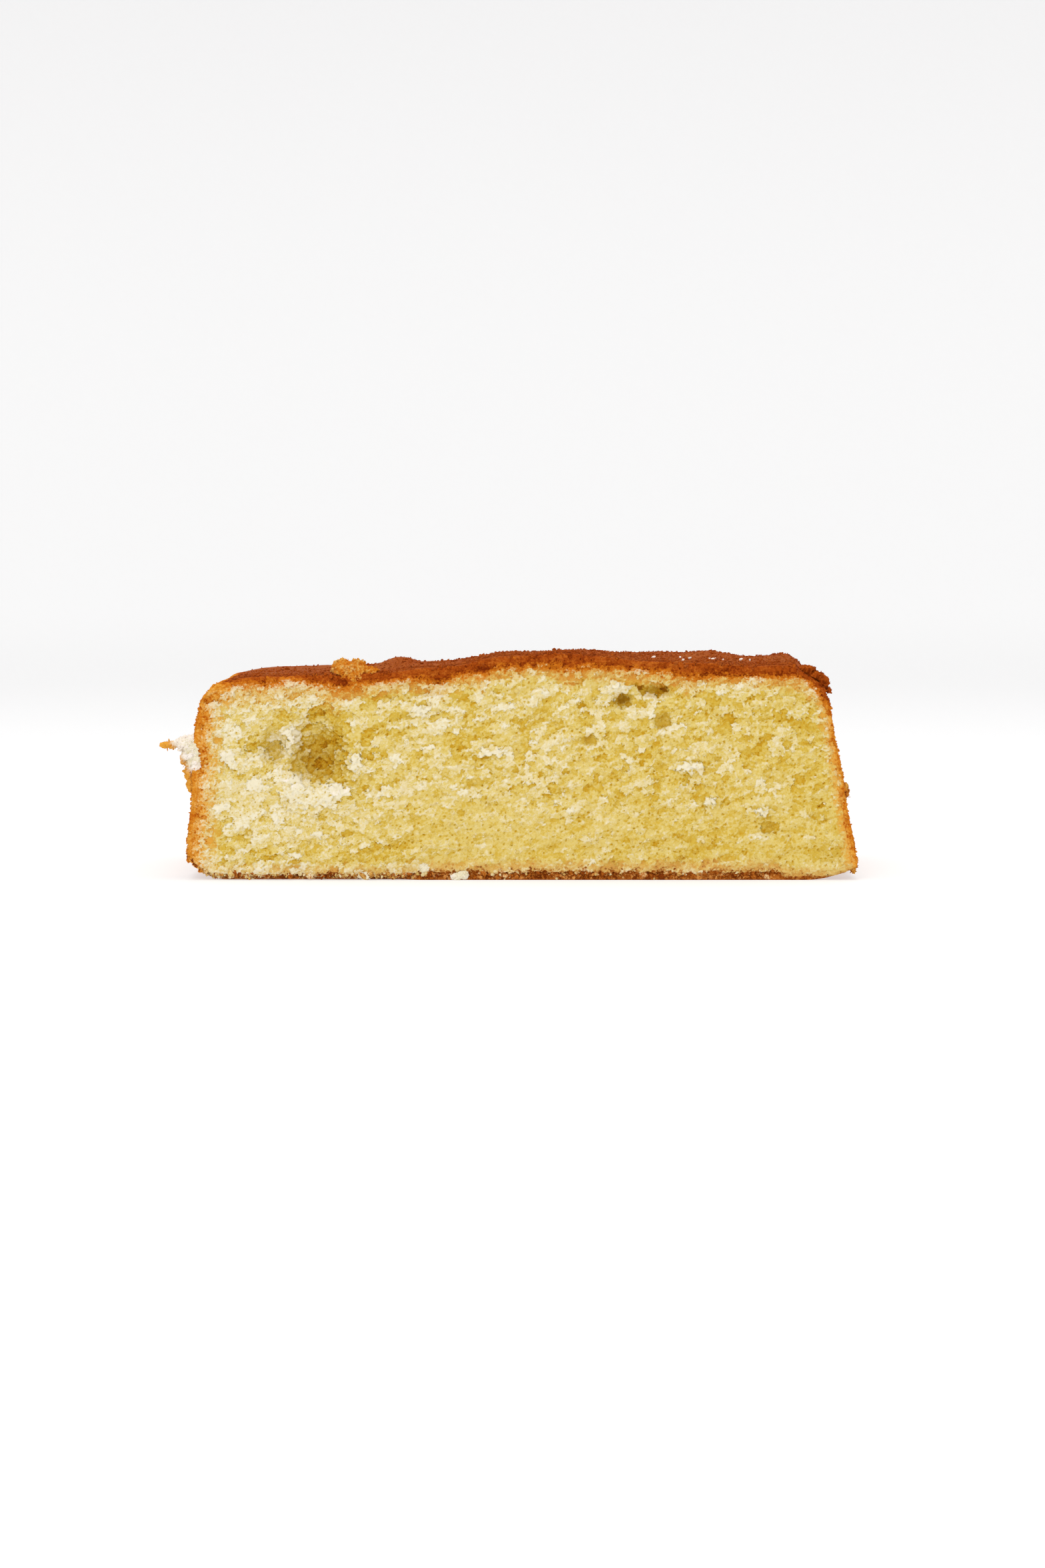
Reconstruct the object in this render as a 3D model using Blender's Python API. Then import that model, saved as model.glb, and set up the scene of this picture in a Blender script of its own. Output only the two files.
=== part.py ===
"""Half of a square butter cake, cut open along its front, as one solid.

Metres, +Z up. X runs along the cut, Y from the cut into the cake. The cake stands
on z = 0, and the origin is the middle of its base. The cut face is crumb, with a
poked hollow, smaller holes and torn ledges. The other sides are baked skin: a low,
lumpy crown on top, walls that lean in, and a flat base whose edges curl up.
"""

import collections
import math

import bmesh
import bpy
from mathutils import Vector, noise

MM = 0.001

# Driving dimensions: half of a cake baked in a square tin of 18 cm.
LENGTH = 180 * MM  # along the cut, at the base
DEPTH = 88 * MM  # from the cut to the far wall, at the base
RIM_HEIGHT = 54.0 * MM  # of the top skin, away from its humps
CORNER_RADIUS = 15 * MM  # of the tin's upright corners, at the back

# What differs from wall to wall: the slope it leans in by, the width and height of
# the curl at its foot, the width and drop of the shoulder where the top skin sinks
# towards it, and the radius of its rim. No width is over CORNER_RADIUS.
Wall = collections.namedtuple(
    "Wall", "lean curl_width curl_height shoulder_width shoulder_drop rim_radius"
)
LEFT = Wall(math.tan(math.radians(4.4)), 11 * MM, 5.6 * MM, 15 * MM, 2.8 * MM, 6 * MM)
RIGHT = Wall(math.tan(math.radians(10)), 15 * MM, 3.6 * MM, 9 * MM, 6.0 * MM, 2 * MM)
BACK = Wall(math.tan(math.radians(7.0)), 9 * MM, 3.2 * MM, 15 * MM, 3.4 * MM, 7 * MM)
SHOULDER_POWER = 1.3  # 1 is a straight slope, 2 a parabola

# The thin lip that climbed the tin along the top of the right wall.
LIP_HEIGHT = 52.4 * MM
LIP_HALF_WIDTH = 2.0 * MM
LIP_REACH = 1.8 * MM
LIP_LEAST = 0.35  # its share of that reach at the far end, against 1 at the cut

# Humps of the crown, in millimetres: x, y, half width along x and y, rise.
HUMPS = (
    (22, -14, 56, 68, 5.2),  # the main dome, highest towards the cut
    (6, -40, 28, 32, 2.2),  # its crest along the cut
    (-8, -30, 7, 16, 0.9),
    (20, -34, 10, 12, 0.4),
    (-47, -10, 10, 20, 1.2),  # left shoulder
    (-34.5, -24, 6, 8, 2.9),  # the smooth blister at the left
    (74, -8, 18, 36, 2.4),  # the high right shoulder
    (44, -16, 9, 14, 1.2),  # its four blisters
    (56, -24, 7, 13, 1.4),
    (65, -26, 7, 11, 0.8),
    (81, -30, 7, 14, 2.6),
    (12, 22, 12, 14, 0.9),  # the far half
    (-34, 18, 13, 10, 0.4),
    (-60, 28, 12, 12, 0.4),
    (34, 34, 12, 8, -0.6),
)

# Holes in the cut face, in millimetres: x, z of the deepest point, half width,
# reach upwards, reach downwards, depth.
HOLES = (
    (-54.5, 30.0, 9.5, 20.0, 4.5, 8.0),  # the poked hollow, with a shelf below it
    (-66.5, 34.0, 4.6, 8.5, 3.4, 4.6),  # the pocket beside it
    (-60.5, 36.0, 17.0, 14.0, 10.0, 1.8),  # the torn dip that holds both
    (35.0, 50.6, 6.0, 2.6, 2.2, 3.4),  # a slot under the top skin
    (26.5, 48.2, 3.4, 2.4, 2.6, 3.6),
    (37.4, 42.6, 3.2, 3.1, 3.2, 2.4),
    (17.9, 37.2, 2.8, 2.2, 2.2, 1.8),
    (65.8, 13.8, 3.0, 2.4, 2.2, 2.0),
)

# Torn ledges that stand out from the cut face, in the same terms.
LEDGES = (
    (-56.0, 23.5, 15.0, 3.2, 9.0, 1.9),  # the shelf under the poked hollow
    (-61.5, 36.0, 2.6, 5.5, 5.0, 2.0),  # the rib between hollow and pocket
    (-76.0, 33.0, 5.0, 6.0, 6.0, 1.0),
    (-45.0, 30.0, 3.5, 10.0, 8.0, 1.0),
    (25.0, 51.8, 6.0, 1.8, 2.0, 1.2),
    (44.5, 29.8, 7.0, 2.2, 2.2, 1.1),
    (51.0, 21.0, 4.0, 2.4, 2.4, 1.0),
    (63.5, 18.2, 5.0, 2.0, 2.0, 1.2),
    (-8.0, 34.0, 7.0, 2.2, 2.2, 0.9),
    (-28.0, 45.0, 8.0, 2.0, 2.2, 0.9),
)

# Crags that stand out from the outline, in millimetres: centre, then half sizes.
CRAGS = (
    ((-94.3, -41.5, 36.0), (2.6, 1.3, 1.1)),  # the flap torn from the left wall
    ((-92.2, -41.3, 35.4), (2.7, 2.0, 2.0)),
    ((-89.8, -41.0, 35.2), (2.9, 2.6, 3.0)),
    ((-89.7, -40.5, 31.3), (2.4, 2.6, 3.4)),
    ((-88.8, -40.0, 28.0), (1.9, 2.6, 3.2)),
    ((-47.6, -42.4, 55.9), (3.3, 2.8, 3.0)),  # the lump of crumb on the top skin
    ((-43.3, -42.2, 55.5), (3.4, 2.8, 2.8)),
    ((-39.8, -41.8, 55.4), (2.3, 2.0, 1.8)),
    ((-46.0, -43.4, 54.0), (2.2, 1.8, 1.8)),
    ((89.0, -39.5, 3.8), (1.3, 2.6, 2.4)),  # baked bits on the right wall
    ((86.6, -40.0, 23.8), (1.0, 1.9, 2.2)),
    ((-16.8, -43.8, 1.5), (3.0, 1.6, 1.5)),  # crumbs that hang from the base edge
    ((-41.8, -43.6, 1.4), (1.8, 1.5, 1.3)),
)
CRAG_LUMPS = 1.9  # how often a crag's surface goes in and out across its half size
CRAG_ROUGHNESS = 0.45  # how far, as a share of that half size
LEAST_CLEARANCE = 0.1 * MM  # of a crag over the table

# The block's grid, which is thinned out afterwards where the surface is plain.
COLUMNS = 84
ROWS = 28
LAYERS = 20
FRONT_LAYER = 2.0 * MM  # the first layer behind the cut; the others grow evenly
KEPT_SHARE = 0.63  # of the triangles
FLAT_WITHIN = 0.02 * MM  # what lies this near the table is its flat base

# The ragged streaks in the crumb.
TEAR_LENGTH = 10 * MM
TEAR_HEIGHT = 4.5 * MM
TEAR_TILT = math.radians(16)  # they climb to the right
TEAR_DEPTH = 0.95 * MM
TEAR_ROUGHNESS = 0.8
TEAR_OCTAVES = 2
OCTAVE_RATIO = 2.0
TEAR_FADE = 6 * MM  # how fast the tears die away behind the cut
TEAR_FOOT = 3 * MM  # how fast they grow from the base up

# The cut edge of the top skin, which stands a little proud of the crumb.
RIND_THICKNESS = 5 * MM
RIND_FADE = 3.4 * MM  # of that thickness, where it meets the crumb
RIND_REACH = 0.7 * MM

# The soft unevenness of the skin, on the top and on the walls.
SKIN_LUMP = 13 * MM
SKIN_DEPTH = 0.6 * MM
WALL_LUMP = 8 * MM
WALL_DEPTH = 0.5 * MM


def smooth(value):
    """0 below 0, 1 above 1, and an even S-curve between."""
    value = min(1.0, max(0.0, value))
    return value * value * (3 - 2 * value)


def mix(a, b, share):
    return a + (b - a) * share


def swelling(x, z, spot):
    """Height at (x, z) of a rounded swelling that reaches further up than down."""
    centre_x, centre_z, half_width, reach_up, reach_down, height = (v * MM for v in spot)
    across = (x - centre_x) / half_width
    along = (z - centre_z) / (reach_up if z > centre_z else reach_down)
    left = max(0.0, 1 - across * across - along * along)
    return height * left * left


def unevenness(x, y, z, lump):
    return noise.noise(Vector((x, y, z)) / lump)


def crown(x, y):
    """Height of the top skin, without the shoulders."""
    height = RIM_HEIGHT
    for hump in HUMPS:
        centre_x, centre_y, half_x, half_y, rise = (v * MM for v in hump)
        spread = ((x - centre_x) / half_x) ** 2 + ((y - centre_y) / half_y) ** 2
        height += rise * math.exp(-spread)
    return height + SKIN_DEPTH * unevenness(x, y, RIM_HEIGHT, SKIN_LUMP)


def tear(x, z):
    """How far the ragged streaks push the cut face in (+) or out (-)."""
    along = x * math.cos(TEAR_TILT) + z * math.sin(TEAR_TILT)
    up = z * math.cos(TEAR_TILT) - x * math.sin(TEAR_TILT)
    place = Vector((along / TEAR_LENGTH, 0, up / TEAR_HEIGHT))
    return TEAR_DEPTH * noise.fractal(place, TEAR_ROUGHNESS, OCTAVE_RATIO, TEAR_OCTAVES)


def cut_relief(x, z, top):
    """How far the cut face lies behind its plane at (x, z), under a skin at top."""
    depth = tear(x, z)
    depth += sum(swelling(x, z, hole) for hole in HOLES)
    depth -= sum(swelling(x, z, ledge) for ledge in LEDGES)
    return depth - RIND_REACH * smooth((RIND_THICKNESS - (top - z)) / RIND_FADE)


def round_corner(x, y):
    """Takes a point of the square outline into the one with rounded back corners."""
    over_x = abs(x) - (LENGTH / 2 - CORNER_RADIUS)
    over_y = y - (DEPTH / 2 - CORNER_RADIUS)
    if over_x <= 0 or over_y <= 0:
        return x, y
    scale = max(over_x, over_y) / math.hypot(over_x, over_y)
    inner_x = math.copysign(LENGTH / 2 - CORNER_RADIUS, x)
    return inner_x + math.copysign(over_x * scale, x), y - over_y * (1 - scale)


def nearest_wall(x, y):
    """Distance in plan to the nearest wall, its outward direction, and its measures."""
    over_x = abs(x) - (LENGTH / 2 - CORNER_RADIUS)
    over_y = y - (DEPTH / 2 - CORNER_RADIUS)
    side = math.copysign(1, x)
    if over_x > 0 and over_y > 0:
        over = math.hypot(over_x, over_y)
        direction = (side * over_x / over, over_y / over)
    elif over_x > over_y:
        over = over_x
        direction = (side, 0.0)
    else:
        over = over_y
        direction = (0.0, 1.0)
    end = RIGHT if x > 0 else LEFT
    wall = Wall(*(mix(b, e, direction[0] ** 2) for b, e in zip(BACK, end)))
    return CORNER_RADIUS - over, direction, wall


def round_rim(inset, z, top, radius):
    """Takes a point near the square rim onto its arc."""
    over = radius - inset
    up = z - (top - radius)
    if over <= 0 or up <= 0:
        return inset, z
    scale = max(over, up) / math.hypot(over, up)
    return radius - over * scale, top - radius + up * scale


def lip(y, z, direction):
    """How far the lip stands out from the wall that faces this direction."""
    height = math.exp(-(((z - LIP_HEIGHT) / LIP_HALF_WIDTH) ** 2))
    strength = mix(LIP_LEAST, 1, smooth(-y / (DEPTH / 2)))
    return LIP_REACH * height * strength * max(0.0, direction[0])


def cake_point(x, y, share):
    """Where a point of the block goes. share runs from 0 at the base to 1 at the top."""
    behind = y + DEPTH / 2
    x, y = round_corner(x, y)
    inset, direction, wall = nearest_wall(x, y)
    foot = wall.curl_height * max(0.0, 1 - inset / wall.curl_width) ** 2
    slope = max(0.0, 1 - inset / wall.shoulder_width) ** SHOULDER_POWER
    top = crown(x, y) - wall.shoulder_drop * slope
    z = mix(foot, top, share)
    arc_inset, z = round_rim(inset, z, top, wall.rim_radius)
    proud = lip(y, z, direction) + WALL_DEPTH * unevenness(x, y, z, WALL_LUMP)
    shift = arc_inset - inset - proud * smooth(1 - inset / CORNER_RADIUS)
    x -= direction[0] * shift
    y -= direction[1] * shift
    x -= z * x / (LENGTH / 2) * (RIGHT.lean if x > 0 else LEFT.lean)
    y -= z * behind / DEPTH * BACK.lean
    y += cut_relief(x, z, top) * math.exp(-behind / TEAR_FADE) * smooth(z / TEAR_FOOT)
    return Vector((x, y, z))


def cut_block(mesh, axis, places):
    """Cuts the block right through at each of these places along an axis."""
    for place in places:
        point = [0, 0, 0]
        normal = [0, 0, 0]
        point[axis] = place
        normal[axis] = 1
        everything = mesh.verts[:] + mesh.edges[:] + mesh.faces[:]
        bmesh.ops.bisect_plane(mesh, geom=everything, plane_co=point, plane_no=normal)


def layer_places():
    """Depths of the cuts behind the cut face, from close together to far apart."""
    growth = 2 * (DEPTH / LAYERS - FRONT_LAYER) / (LAYERS - 1)
    return [
        -DEPTH / 2 + n * FRONT_LAYER + growth * n * (n - 1) / 2 for n in range(1, LAYERS)
    ]


def make_body():
    """The half cake without its crags: a block that is cut into a grid and shaped."""
    mesh = bmesh.new()
    bmesh.ops.create_cube(mesh, size=1)
    bmesh.ops.scale(mesh, vec=(LENGTH, DEPTH, 1), verts=mesh.verts)
    bmesh.ops.translate(mesh, vec=(0, 0, 0.5), verts=mesh.verts)
    cut_block(mesh, 0, [LENGTH * (n / COLUMNS - 0.5) for n in range(1, COLUMNS)])
    cut_block(mesh, 1, layer_places())
    cut_block(mesh, 2, [n / ROWS for n in range(1, ROWS)])
    for vertex in mesh.verts:
        vertex.co = cake_point(*vertex.co)
    flatten_base(mesh)
    return finish_mesh("cake", mesh)


def flatten_base(mesh):
    """Joins the small faces of the flat part of the base into one face."""
    flat = [f for f in mesh.faces if all(v.co.z < FLAT_WITHIN for v in f.verts)]
    for vertex in {v for f in flat for v in f.verts}:
        vertex.co.z = 0
    bmesh.ops.dissolve_faces(mesh, faces=flat)


def make_crag(number, centre, half_sizes):
    """A rough little lump, from a sphere whose points are pushed in and out."""
    mesh = bmesh.new()
    bmesh.ops.create_icosphere(mesh, subdivisions=2, radius=1)
    for vertex in mesh.verts:
        push = noise.noise(vertex.co * CRAG_LUMPS + Vector(centre))
        place = vertex.co * (1 + CRAG_ROUGHNESS * push)
        vertex.co = Vector(a * b for a, b in zip(place, half_sizes)) + Vector(centre)
        vertex.co *= MM
        vertex.co.z = max(vertex.co.z, LEAST_CLEARANCE)
    return finish_mesh(f"crag_{number}", mesh)


def finish_mesh(name, mesh):
    bmesh.ops.recalc_face_normals(mesh, faces=mesh.faces)
    data = bpy.data.meshes.new(name)
    mesh.to_mesh(data)
    mesh.free()
    return bpy.data.objects.new(name, data)


def new_collection(name):
    collection = bpy.data.collections.new(name)
    bpy.context.scene.collection.children.link(collection)
    return collection


def apply_modifiers(body):
    bpy.context.view_layer.update()
    graph = bpy.context.evaluated_depsgraph_get()
    shaped = bpy.data.meshes.new_from_object(body.evaluated_get(graph))
    body.modifiers.clear()
    body.data = shaped


def thin_out(body):
    """Drops triangles where the surface is plain."""
    thinner = body.modifiers.new("thinner", "DECIMATE")
    thinner.decimate_type = "COLLAPSE"
    thinner.ratio = KEPT_SHARE
    apply_modifiers(body)


def fuse(body, crags):
    """Joins the crags to the body with one union, then drops them."""
    union = body.modifiers.new("crags", "BOOLEAN")
    union.operation = "UNION"
    union.operand_type = "COLLECTION"
    union.collection = crags
    union.solver = "EXACT"
    apply_modifiers(body)
    for crag in list(crags.objects):
        bpy.data.objects.remove(crag)
    bpy.data.collections.remove(crags)


def baked_crumb():
    material = bpy.data.materials.new("baked_crumb")
    material.use_nodes = True
    shader = material.node_tree.nodes["Principled BSDF"]
    shader.inputs["Base Color"].default_value = (0.75, 0.55, 0.2, 1)
    shader.inputs["Roughness"].default_value = 0.85
    shader.inputs["Metallic"].default_value = 0
    return material


def main():
    for leftover in list(bpy.data.objects):
        bpy.data.objects.remove(leftover)
    parts = new_collection("butter_cake")
    crags = new_collection("crags")
    body = make_body()
    parts.objects.link(body)
    thin_out(body)
    for number, (centre, half_sizes) in enumerate(CRAGS):
        crags.objects.link(make_crag(number, centre, half_sizes))
    fuse(body, crags)
    body.name = body.data.name = "cake"
    body.data.materials.clear()
    body.data.materials.append(baked_crumb())
    body.data.shade_smooth()
    body.data.set_sharp_from_angle(angle=math.radians(40))


main()
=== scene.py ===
"""Half of a square butter cake, torn open along its front, dressed for its photograph.

Run as a script. Lengths are in metres unless a name or a comment says millimetres. X
runs along the cut, Y from the cut into the cake.
"""

import collections
import contextlib
import math

import bpy
import numpy as np
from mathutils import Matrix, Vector, noise


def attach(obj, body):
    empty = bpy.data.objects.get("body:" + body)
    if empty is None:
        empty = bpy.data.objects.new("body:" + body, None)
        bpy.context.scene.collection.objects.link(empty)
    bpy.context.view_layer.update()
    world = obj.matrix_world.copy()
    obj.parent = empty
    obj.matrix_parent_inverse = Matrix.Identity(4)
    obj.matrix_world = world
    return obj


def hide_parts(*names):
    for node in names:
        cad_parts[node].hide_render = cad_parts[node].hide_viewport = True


bl_info = {
    "name": "Butter Cake",
    "version": (1, 0, 0),
    "blender": (4, 5, 0),
    "location": "3D View > Sidebar > Butter Cake",
    "description": "Half of a square butter cake with torn crumb and baked skin",
    "category": "Object",
}

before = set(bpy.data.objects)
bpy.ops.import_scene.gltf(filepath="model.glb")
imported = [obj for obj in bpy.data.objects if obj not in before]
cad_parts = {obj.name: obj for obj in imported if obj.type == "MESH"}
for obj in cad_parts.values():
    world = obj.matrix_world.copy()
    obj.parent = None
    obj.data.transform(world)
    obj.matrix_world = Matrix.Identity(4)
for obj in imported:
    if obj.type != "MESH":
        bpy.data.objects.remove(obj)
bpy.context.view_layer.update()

MM = 0.001
SEED = 7

# ---------------------------------------------------------------------------
# The cake's outer form, from the same measures as the solid it stands for.

LENGTH = 180 * MM
DEPTH = 88 * MM
RIM_HEIGHT = 54.0 * MM
CORNER_RADIUS = 15 * MM
BLOCK = (LENGTH, DEPTH, RIM_HEIGHT)

Wall = collections.namedtuple(
    "Wall", "lean curl_width curl_height shoulder_width shoulder_drop rim_radius"
)
LEFT = Wall(math.tan(math.radians(4.4)), 11 * MM, 5.6 * MM, 15 * MM, 2.8 * MM, 6 * MM)
RIGHT = Wall(math.tan(math.radians(10)), 15 * MM, 3.6 * MM, 9 * MM, 6.0 * MM, 2 * MM)
BACK = Wall(math.tan(math.radians(7.0)), 9 * MM, 3.2 * MM, 15 * MM, 3.4 * MM, 7 * MM)
SHOULDER_POWER = 1.3

LIP_HEIGHT = 52.4 * MM
LIP_HALF_WIDTH = 2.0 * MM
LIP_REACH = 1.8 * MM
LIP_LEAST = 0.35

# Humps of the crown, in millimetres: x, y, half width along x and y, rise.
HUMPS = (
    (22, -14, 56, 68, 5.2),  # the main dome, highest towards the cut
    (6, -40, 28, 32, 2.2),  # its crest along the cut
    (-8, -30, 7, 16, 0.9),
    (20, -34, 10, 12, 0.4),
    (-47, -10, 10, 20, 1.2),  # left shoulder
    (-34.5, -24, 6, 8, 2.9),  # the smooth blister at the left
    (74, -8, 18, 36, 2.4),  # the high right shoulder
    (44, -16, 9, 14, 1.2),  # its four blisters
    (56, -24, 7, 13, 1.4),
    (65, -26, 7, 11, 0.8),
    (81, -30, 7, 14, 2.6),
    (57, -12, 5, 22, 0.4),
    (68, -8, 4, 30, -0.5),  # the fold between the last two
    (12, 22, 12, 14, 0.9),  # the far half
    (-34, 18, 13, 10, 0.4),
    (-60, 28, 12, 12, 0.4),
    (34, 34, 12, 8, -0.6),
)

# Holes in the cut face, in millimetres: x, z of the deepest point, half width,
# reach upwards, reach downwards, depth.
HOLES = (
    (-54.5, 30.0, 9.5, 20.0, 4.5, 8.0),  # the poked hollow, with a shelf below it
    (-66.5, 34.0, 4.6, 8.5, 3.4, 4.6),  # the pocket beside it
    (-60.5, 36.0, 17.0, 14.0, 10.0, 1.8),
    (35.0, 50.6, 6.0, 2.6, 2.2, 3.4),  # a slot under the top skin
    (26.5, 48.2, 3.4, 2.4, 2.6, 3.6),
    (37.4, 42.6, 3.2, 3.1, 3.2, 2.4),
    (17.9, 37.2, 2.8, 2.2, 2.2, 1.8),
    (65.8, 13.8, 3.0, 2.4, 2.2, 2.0),
)

# Torn ledges that stand out from the cut face, in the same terms.
LEDGES = (
    (-56.0, 23.5, 15.0, 3.2, 9.0, 1.9),
    (-61.5, 36.0, 2.6, 5.5, 5.0, 2.0),
    (-76.0, 33.0, 5.0, 6.0, 6.0, 1.0),
    (-45.0, 30.0, 3.5, 10.0, 8.0, 1.0),
    (25.0, 51.8, 6.0, 1.8, 2.0, 1.2),
    (44.5, 29.8, 7.0, 2.2, 2.2, 1.1),
    (51.0, 21.0, 4.0, 2.4, 2.4, 1.0),
    (63.5, 18.2, 5.0, 2.0, 2.0, 1.2),
    (-8.0, 34.0, 7.0, 2.2, 2.2, 0.9),
    (-28.0, 45.0, 8.0, 2.0, 2.2, 0.9),
)

# Smaller hollows and bright tufts that only the dressed crumb has, in the same terms. Their
# colour follows their height: painted shade in the hollows, painted light on the tufts.
SMALL_HOLES = (
    (31.2, 51.6, 0.9, 0.9, 1.1, 5.2),
    (37.6, 51.0, 1.0, 1.0, 1.1, 5.2),
    (37.4, 42.6, 3.2, 3.2, 3.4, 1.0),
    (32.6, 42.5, 1.7, 1.6, 1.7, 1.0),
    (17.9, 37.2, 2.6, 1.6, 1.7, 0.8),
    (70.6, 36.2, 1.6, 1.4, 1.6, 1.3),
    (65.6, 38.3, 1.3, 1.5, 1.6, 1.6),
    (31.6, 31.4, 1.2, 1.1, 1.3, 1.6),
    (19.4, 27.4, 0.8, 2.0, 2.2, 1.6),
    (11.7, 29.0, 1.7, 1.0, 1.2, 1.5),
    (41.7, 11.8, 1.6, 0.8, 0.9, 1.5),
    (-66.5, 23.4, 1.2, 0.9, 1.1, 1.4),
    (-73.2, 12.9, 1.2, 1.1, 1.2, 1.4),
    (-60.8, 4.9, 1.9, 0.8, 1.0, 1.6),
    (-46.9, 12.6, 1.8, 1.2, 1.4, 1.4),
    (-50.5, 2.4, 1.6, 1.2, 1.8, 1.8),
    (-17.0, 49.2, 3.6, 1.7, 1.9, 1.2),
    (-32.0, 44.0, 2.8, 1.8, 1.8, 0.8),
)
# Recessed parts where the torn plates lie back a little, their colour painted deeper as shade.
RECESS_SHADE_SPOTS = (
    (-52.2, 34.0, 9.8, 16.5, 10.5, 1.4),
    (-66.6, 34.4, 3.8, 4.0, 3.8, 0.9),
    (-79.0, 9.6, 8.5, 2.8, 2.8, 1.2),
    (-36.0, 8.0, 7.0, 2.4, 2.4, 0.7),
    (-54.9, 30.0, 3.6, 2.0, 1.6, 0.9),
    (-71.4, 37.5, 2.4, 6.0, 4.6, 1.4),
    (26.5, 48.2, 2.8, 2.0, 2.2, 1.2),
    (34.6, 50.8, 5.4, 2.0, 1.8, 1.2),
    (65.8, 13.8, 3.0, 2.4, 2.2, 0.6),
)
SMALL_TUFTS = (
    (44.0, 30.6, 6.6, 1.3, 1.4, 1.5),
    (49.8, 21.2, 2.8, 1.4, 1.6, 1.4),
    (63.0, 18.6, 4.6, 1.3, 1.6, 1.5),
    (31.8, 18.0, 2.2, 1.3, 1.4, 1.2),
    (56.0, 41.2, 2.4, 1.2, 1.2, 1.2),
    (62.8, 11.4, 6.6, 1.2, 1.4, 1.2),
    (24.8, 51.0, 5.4, 1.5, 2.0, 1.6),
    (-3.6, 34.2, 5.8, 1.8, 1.6, 1.3),
    (11.0, 34.0, 4.6, 1.0, 1.2, 1.2),
    (-9.8, 33.8, 5.6, 1.3, 1.3, 1.2),
    (-14.4, 52.4, 3.2, 1.2, 1.4, 1.4),
    (-6.6, 52.8, 2.2, 0.9, 1.0, 1.2),
    (-28.6, 45.8, 6.4, 1.2, 1.4, 1.2),
    (-18.0, 45.4, 3.6, 1.6, 1.8, 1.0),
    (-78.0, 33.1, 2.2, 3.6, 3.4, 1.9),
    (-71.0, 26.2, 4.0, 2.6, 3.0, 1.9),
    (-60.6, 25.6, 4.6, 2.6, 3.4, 2.0),
    (-48.7, 24.2, 5.0, 2.8, 3.2, 2.0),
    (-61.0, 37.8, 2.6, 4.8, 4.4, 2.1),
    (-57.2, 31.6, 2.2, 1.8, 1.6, 2.0),
    (-64.6, 29.4, 2.6, 1.8, 1.8, 1.6),
    (-44.0, 31.0, 2.8, 6.0, 5.0, 1.5),
    (-66.0, 16.0, 3.4, 2.6, 2.4, 1.5),
    (-54.0, 13.0, 3.0, 2.2, 2.2, 1.4),
    (-80.0, 20.0, 2.4, 3.4, 3.0, 1.2),
)

# The ragged streaks in the crumb.
TEAR_LENGTH = 10 * MM
TEAR_HEIGHT = 4.5 * MM
TEAR_TILT = math.radians(16)
TEAR_DEPTH = 0.95 * MM
TEAR_ROUGHNESS = 0.8
TEAR_OCTAVES = 2
OCTAVE_RATIO = 2.0
TEAR_FADE = 6 * MM
TEAR_FOOT = 3 * MM

# Torn plates of crumb, in cells that each keep one height: the cells' size along and
# across the streaks, and how far their edges wander.
PLATE = (1.7 * MM, 1.15 * MM, 1.1 * MM)
FLAKE = (0.75 * MM, 0.6 * MM, 0.5 * MM)
BUBBLE = (1.6 * MM, 1.3 * MM, 0.35 * MM)
STREAK = (4.9 * MM, 2.9 * MM)
CLUMP = (2.2 * MM, 1.3 * MM)
# How high the parts of the fine crumb stand, in steps of CRUMB_STEP, or lie below it.
STREAK_RISE = 3.4
CLUMP_RISE = 1.0
GRAIN_RISE = 0.6
TUFT_RISE = 1.4
BUBBLE_DROP = 1.5
HOLE_DROP = 1.7
CRUMB_STEP = 0.19 * MM
CRUMB_FADE = 1.2 * MM
# The colour of the crumb follows its height, which paints shade into its hollows and light onto
# its raised plates, and these, in the same steps.
LOW_TONE = 0.35  # how much deeper it is low down, right of the middle
RIGHT_TONE = 0.25  # and at the right
LEFT_TONE = 0.5  # how much paler it is at the left
UNDERSIDE_SHADE_TONE = 1.0  # painted shade: how much deeper it is on sides that face down or aside
STEEP_SHADE_TONE = -0.4  # painted shade: the palest that it is on the steep walls of hollows
RECESS_SHADE_TONE = 4.0  # painted shade: how much deeper it is for each millimetre behind the crumb round it
MOST_SUNK = 0.22  # millimetres
SUNK_REACH = 14  # how far the crumb round it reaches, in steps of smoothing
FLUFF = (-55.0, 20.0, 20.0, 7.0)  # a pale, fluffy part: x, z, half width, half height
FLUFF_TONE = 0.8  # how much paler it is

# The cut edge of the top skin, which stands a little proud of the crumb.
RIND_THICKNESS = 5 * MM
RIND_FADE = 3.4 * MM
RIND_REACH = 0.7 * MM  # how far it stands proud
TORN_RADIUS = 1.3 * MM  # of the torn edge between the top skin and the cut
TORN_LUMP = 3.5 * MM  # how wide its rough parts are
RAGGED_EDGE = 0.36 * MM  # how far crumbs break the outline of the cut
RAGGED_LUMP = 3.1 * MM
RAGGED_FADE = 2.5 * MM
RAGGED_SHIFT = 0.3 * MM  # how far crumbs are moved along the cut

# Where the browned edge of the top skin reaches deeper into the crumb, in
# millimetres: x, half width, extra depth, and how much wider its toasted fringe is.
BROWN_LOBES = (
    (-68.0, 14.0, -1.2, 0.9),
    (-49.6, 4.5, 0.5, 0.4),
    (-22.9, 3.0, 1.2, 0.6),
    (-10.4, 1.6, 1.2, 0.6),
    (12.4, 3.0, 1.0, 0.6),
    (43.9, 3.6, 1.0, 0.2),
)
BROWN_END = 2.6 * MM  # the depth at which the fringe starts

# The rim of the top skin stays golden, broadly at the left and not at the right end.
RIM_GOLDEN = 9.0 * MM
GOLDEN_END = 70 * MM
GOLDEN_RANGE = 120 * MM
GOLDEN_FADE = 5 * MM
GOLDEN_WALL = 3 * MM  # how much further in the colour of the wall reaches
GOLDEN_WALL_FADE = 3.5 * MM
RIM_UNBROWNED = 4.4 * MM
CURL_START = 76 * MM
CURL_UNBROWNED = 1.2 * MM  # how much less the base browns where it curls up
CUT_DEPTH = 0.8 * MM  # the least depth under the top skin that the cut shows

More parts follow.
